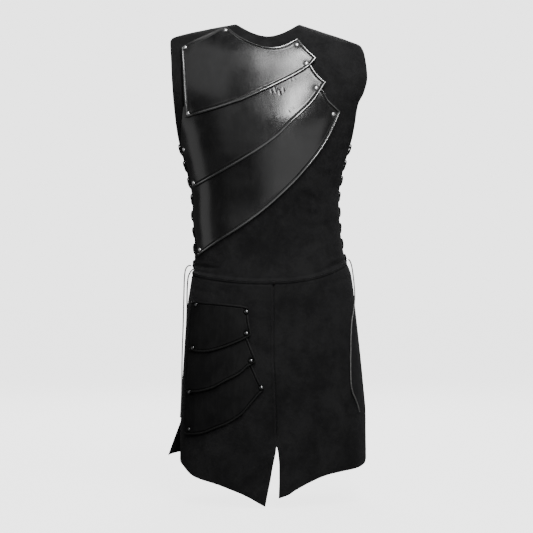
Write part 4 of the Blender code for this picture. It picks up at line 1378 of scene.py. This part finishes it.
def platePatch(plate):
    top, foot = movedOut(plate["upper"], -1), movedOut(plate["lower"], 1)
    left, right = ([top[end], *plate[side], foot[end]] for side, end in (("left", 0), ("right", -1)))
    corners = [edge[end][:2] for edge in (top, foot) for end in (0, -1)]
    upper, lower, left, right = (edgeRun(edge) for edge in (top, foot, left, right))

    def patch(across, down):
        a, b, c, d = upper(across), lower(across), left(down), right(down)
        weights = ((1 - across) * (1 - down), across * (1 - down), (1 - across) * down, across * down)
        point = []
        for axis in (0, 1):
            ruled = a[axis] * (1 - down) + b[axis] * down + c[axis] * (1 - across) + d[axis] * across
            point.append(ruled - sum(weight * corner[axis] for weight, corner in zip(weights, corners)))
        return point

    return patch


def lineShares(length, count):
    # shares of a length: lines set close at both ends, where a bead may stand, and even between
    offsets = [value / length for value in plates["edgeOffsets"]]
    first, last = offsets[-1], 1 - offsets[-1]
    middle = [first + (last - first) * i / count for i in range(1, count)]
    return offsets + middle + [1 - value for value in reversed(offsets)]


def standOff(height):
    return plates["layGap"] + plates["shoulderEase"] * smoothStep(1 - height / plates["shoulderEaseFoot"])


def rimDistance(rims, left, right, top, foot):
    found = {"left": left, "right": right, "upper": top, "lower": foot}
    return min(found[edge] for edge in rims)


def beadHeight(distance, bead):
    half = bead["width"] / 2
    dome = math.sqrt(max(0.0, 1 - (distance / half - 1) ** 2))
    lines = ((*plates["groove"], -bead["grooveDepth"]), (*plates["besideGroove"], bead["shoulderRise"]))
    return bead["rise"] * dome + ridges(distance - bead["width"], lines)


def overShoulder(point):
    # 0 on the chest, 1 where a plate has turned over the shoulder
    start, length = plates["shoulderFade"]
    return smoothStep((point.z - start) / length)


def plateGrid(plate):
    # how many columns and rows a plate has, and a function from their shares to a place seen from the front
    patch = platePatch(plate)
    counts = []
    for start, end in (((0, 0.5), (1, 0.5)), ((0.5, 0), (0.5, 1))):
        counts.append(max(8, int(math.dist(patch(*start), patch(*end)) / plates["spacing"])))
    columns, rows = (len(lineShares(1.0, count)) - 1 for count in counts)
    talls = [math.dist(patch(i / columns, 0), patch(i / columns, 1)) for i in range(columns + 1)]
    rowShares = [lineShares(tall, counts[1]) for tall in talls]

    def read(share, down):
        column, row = round(share * columns), round(down * rows)
        drop = rowShares[column][row]
        wide = math.dist(patch(0, drop), patch(1, drop))
        return patch(lineShares(wide, counts[0])[column], drop), drop

    return columns, rows, read


def makePlate(name, plate, rims, laps, spots, material, bead):
    columns, rows, read = plateGrid(plate)
    dimple = plates["dimple"]

    def place(share, down):
        (x, height), drop = read(share, down)
        lift = plates["lapLift"] * (1 - (1 - drop) ** plates["lapCurve"]) if laps else 0.0
        out = standOff(height) + lift + plates["thickness"]
        return onFront(x, height, out, out)

    def rivetGaps(point):
        return [(point - centre).length for centre in centres]

    def relief(point, *edges):
        start, length = plates["coverFade"]
        covered = 1.0 if "upper" in rims else smoothStep((edges[2] - start) / length)
        faded = 1 - (1 - plates["shoulderBead"]) * overShoulder(point)
        value = beadHeight(rimDistance(rims, *edges), bead) * covered * faded
        for gap in rivetGaps(point):
            if gap < dimple["reach"]:
                value -= dimple["depth"] * bell(gap - dimple["place"], dimple["width"])
        spread, waveHeight = plates["wave"]
        return value + (noise.noise(point * spread) * waveHeight + crease(point, chestWrinkles))

    # the beads' mask for their coat and lighter colour, partly a painted highlight; it fades on the plates'
    # left side and over the shoulders
    def rim(point, *edges):
        side = plates["rimSideFade"]
        aside = side["share"] * smoothStep((side["start"] - point.x) / side["length"])
        inside = (bead["width"] - rimDistance(rims, *edges)) / plates["rimBlend"]
        return smoothStep(inside) * ((1 - overShoulder(point)) * (1 - aside))

    # painted shade, kept on the mesh as the hollow attribute: darker beside each bead's groove, near the top
    # edge over the shoulders, and round the rivets
    def hollow(point, *edges):
        share, width = plates["grooveShade"]
        beside = rimDistance(rims, *edges) - bead["width"] - plates["groove"][0]
        paintedShades = [share * bell(beside, width)]
        shoulder = plates["shoulderShade"]
        (reach, fade), (start, length) = shoulder["inside"], shoulder["height"]
        near = smoothStep((reach - edges[2]) / fade)
        paintedShades.append(shoulder["share"] * near * smoothStep((point.z - start) / length))
        gap = min(rivetGaps(point))
        paintedShades.extend(share * smoothStep((reach - gap) / fade) for share, reach, fade in plates["darkRivet"])
        return max(paintedShades)

    sheet = Sheet(name, columns, rows, place)
    centres = [onForm(frontAngle(x, height), height, dimple["above"]) for x, height in spots]
    sheet.shape(relief)
    return sheet.finish(material, plates["thickness"], rim=rim, hollow=hollow)


beads = {
    "leather": {"width": 0.0052, "rise": 0.0020, "grooveDepth": 0.0009, "shoulderRise": 0.0004},
    "hip_leather": {"width": 0.0044, "rise": 0.0013, "grooveDepth": 0.0007, "shoulderRise": 0.0002},
}
chestWrinkles = (
    (0.0059, -0.1341, 0.0087, -0.1427, 0.0014, -0.0004), (0.0129, -0.1299, 0.0187, -0.1412, 0.0014, -0.0006),
    (0.0229, -0.1341, 0.0264, -0.1461, 0.0014, -0.0006), (0.0317, -0.1307, 0.0338, -0.1384, 0.0013, -0.0006),
    (0.0180, -0.1300, 0.0215, -0.1380, 0.0012, -0.0004), (0.0545, -0.1079, 0.0588, -0.1136, 0.0012, -0.0004),
    (0.0470, -0.1110, 0.0500, -0.1160, 0.0012, -0.0004), (0.0500, -0.1710, 0.0560, -0.1790, 0.0014, -0.0004),
    (0.0420, -0.1790, 0.0470, -0.1860, 0.0014, -0.0004),
)
allRound, lowerRims = ("upper", "lower", "left", "right"), ("lower", "right")
plateGroups = (
    # leather, slot, what carries the plates, rivets' group, then the plates
    (leather, "leather", "front_body", "chest", (
        # name, table, turned edges, laps over the next, flat width, length, area
        ("chest_plate_top", topPlate, allRound, True, (0.330, 0.200, 0.042)),
        ("chest_plate_middle", middlePlate, lowerRims, True, (0.380, 0.190, 0.052)),
        ("chest_plate_bottom", bottomPlate, lowerRims, False, (0.400, 0.200, 0.058)),
    )),
    (hipLeather, "hip_leather", "skirt_front_left", "hip", (
        ("hip_plate_top", hipTopPlate, ("upper", *lowerRims), True, (0.175, 0.100, 0.0150)),
        ("hip_plate_middle", hipMiddlePlate, lowerRims, True, (0.190, 0.110, 0.0165)),
        ("hip_plate_bottom", hipBottomPlate, lowerRims, False, (0.210, 0.125, 0.0200)),
    )),
)
plateObjects = []
for material, slot, carrier, group, table in plateGroups:
    for name, plate, rims, laps, (width, length, area) in table:
        thing = makePlate(name + "_leather", plate, rims, laps, rivets[group], material, beads[slot])
        declare(thing, name, slot)
        plateObjects.append(thing)
    print(slot, "plates made")


# Rivet heads
def rivetHead():
    dome = bmesh.new()
    bmesh.ops.create_uvsphere(dome, u_segments=28, v_segments=16, radius=1)
    geometry = dome.verts[:] + dome.edges[:] + dome.faces[:]
    plane = {"plane_co": (0, 0, rivets["cut"]), "plane_no": (0, 0, 1), "dist": 0.001}
    bmesh.ops.bisect_plane(dome, geom=geometry, clear_inner=True, **plane)
    rim = [edge for edge in dome.edges if edge.is_boundary]
    grown = bmesh.ops.extrude_edge_only(dome, edges=rim)["geom"]
    foot = [part for part in grown if isinstance(part, bmesh.types.BMVert)]
    bmesh.ops.translate(dome, vec=(0, 0, -rivets["cut"]), verts=foot)
    rim = [edge for edge in dome.edges if edge.is_boundary]
    bmesh.ops.contextual_create(dome, geom=rim)
    radius = rivets["diameter"] / 2
    bmesh.ops.scale(dome, vec=(radius, radius, rivets["rise"]), verts=dome.verts)
    bmesh.ops.recalc_face_normals(dome, faces=dome.faces)
    return dome


def seatOf(skins, across, height, count=12):
    # where a head rests on the leather, from rays cast under its middle and its rim
    around = frontAngle(across, height)
    away = outward(around, height)
    turned = away.to_track_quat("Z", "Y")
    start = onForm(around, height, rivets["castFrom"])
    spots = [Vector((0, 0, 0))]
    for step in range(count):
        angle = 2 * math.pi * step / count
        spots.append(Vector((math.cos(angle), math.sin(angle), 0)) * rivets["diameter"] * rivets["seatShare"])
    reach = [skin.ray_cast(start + turned @ spot, -away)[3] for skin in skins for spot in spots]
    nearest = min(distance for distance in reach if distance is not None)
    return start - away * nearest, turned


graph = bpy.context.evaluated_depsgraph_get()
skins = [BVHTree.FromObject(thing, graph) for thing in plateObjects]
for group in ("chest", "hip"):
    for number, (across, height) in enumerate(rivets[group], start=1):
        centre, turned = seatOf(skins, across, height)
        seat = Matrix.Translation(centre) @ turned.to_matrix().to_4x4()
        head = rivetHead()
        bmesh.ops.transform(head, matrix=seat, verts=head.verts)
        node = f"{group}_rivet_{number:02d}"
        thing = addMesh(node + "_head", head, rivetSteel[group])
        thing.data.shade_smooth()
        thing.data.set_sharp_from_angle(angle=math.radians(rivets["sharpDegrees"]))
        declare(thing, node, "rivet")
print("rivets made")


# Stitching
stitching = {
    "pitch": 0.0042,
    "length": 0.0030,
    "width": 0.0009,
    "sink": 0.0001,
    "longestStep": 0.03,
    "lines": (
        # sheet, edge, distance in, lowest and highest point
        ("front_body", "foot", 0.0045, -1.2, 0.1),
        ("back_body", "foot", 0.0045, -1.2, 0.1),
        ("front_body", "left", 0.0065, -0.222, -0.015),
        ("front_body", "right", 0.0065, -0.222, -0.030),
        ("back_body", "left", 0.0065, -0.222, -0.030),
        ("back_body", "right", 0.0065, -0.222, -0.015),
        ("front_body", "top", 0.0065, -0.10, 0.1),
        ("back_body", "top", 0.0065, -0.10, 0.1),
        ("skirt_front_left", "left", 0.0050, -0.860, 0.1),
        ("skirt_front_right", "right", 0.0050, -0.860, 0.1),
    ),
}


def sewLine(mesh, line, low, high):
    # stitches laid end to end along a line of points and normals
    spots = [(point, normal) for point, normal in line if low < point.z < high]
    half = stitching["width"] / 2
    travelled, target = 0.0, stitching["pitch"] / 2
    for (first, firstNormal), (second, secondNormal) in zip(spots, spots[1:]):
        step = (second - first).length
        if step > stitching["longestStep"] or step == 0:
            continue
        while target <= travelled + step:
            share = (target - travelled) / step
            along = (second - first) / step
            normal = firstNormal.lerp(secondNormal, share).normalized()
            across = normal.cross(along).normalized()
            frameOfStitch = Matrix((along, across, normal)).transposed().to_4x4()
            frameOfStitch.translation = first.lerp(second, share) + normal * stitching["sink"]
            size = Matrix.Diagonal((stitching["length"] / 2, half, half, 1))
            bmesh.ops.create_uvsphere(mesh, u_segments=6, v_segments=4, radius=1, matrix=frameOfStitch @ size)
            target += stitching["pitch"]
        travelled += step


for name, sheet in sheets.items():
    stitches = bmesh.new()
    for owner, edge, distance, low, high in stitching["lines"]:
        if owner == name:
            sewLine(stitches, sheet.lineAt(edge, distance), low, high)
    sheet.mesh.free()
    if stitches.verts:
        thing = addMesh(name + "_stitching", stitches, thread)
        thing.data.shade_smooth()
        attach(thing, "root")
    else:
        stitches.free()
print("stitching made")


# Floor, light and backdrop
studio = {
    "floorHeight": -1.0225,
    "floorReach": 14,
    "floorColour": (0.30, 0.30, 0.30, 1),
    "floorGlow": 2.93,
    "worldSeen": 3.0,
    "worldLight": 0.075,
    "aim": (0, 0, -0.35),
    "lights": (
        # name, azimuth, elevation, distance, width, height, power
        ("softboxLow", 11, 26, 2.4, 0.42, 1.10, 34),
        ("softboxMiddle", 9, 50, 2.4, 0.50, 0.80, 10),
        ("softboxHigh", 25, 57, 2.4, 0.60, 0.80, 36),
        ("fillLeft", -42, 42, 2.4, 1.60, 1.60, 4),
        ("fillLow", 24, -10, 2.4, 2.20, 1.10, 6),
        ("fillFront", -20, 8, 2.4, 1.20, 1.20, 1),
        ("fillSide", -80, 0, 2.4, 1.20, 2.00, 4),
        ("backRight", 170, 30, 2.6, 1.20, 1.60, 48),
        ("backLeft", -166, 25, 2.6, 1.20, 1.60, 36),
    ),
}

floorLook = {
    "Base Color": studio["floorColour"],
    "Roughness": 0.9,
    "Emission Color": (1, 1, 1, 1),
    "Emission Strength": studio["floorGlow"],
}
floorGrid = bmesh.new()
bmesh.ops.create_grid(floorGrid, x_segments=2, y_segments=2, size=studio["floorReach"])
bmesh.ops.translate(floorGrid, vec=(0, 0, studio["floorHeight"]), verts=floorGrid.verts)
floor = addMesh("floor", floorGrid, newMaterial("paleFloor", floorLook)[0])
floor.visible_diffuse = floor.visible_glossy = False

world = bpy.data.worlds.new("studio")
bpy.context.scene.world = world
world.use_nodes = True
skyWire = Wire(world.node_tree)
background = world.node_tree.nodes["Background"]
background.inputs["Color"].default_value = (1, 1, 1, 1)
seen = skyWire.node("ShaderNodeLightPath", output="Is Camera Ray")
strength = seen * (studio["worldSeen"] - studio["worldLight"]) + studio["worldLight"]
world.node_tree.links.new(strength.socket, background.inputs["Strength"])

for name, azimuth, elevation, distance, width, height, power in studio["lights"]:
    turn, rise = math.radians(azimuth), math.radians(elevation)
    away = Vector((math.sin(turn) * math.cos(rise), -math.cos(turn) * math.cos(rise), math.sin(rise)))
    lamp = bpy.data.lights.new(name, "AREA")
    lamp.shape = "RECTANGLE"
    lamp.size, lamp.size_y = width, height
    lamp.energy = power
    lampObject = addObject(name, lamp)
    lampObject.location = Vector(studio["aim"]) + away * distance
    lampObject.rotation_euler = away.to_track_quat("Z", "Y").to_euler()
print("studio set")
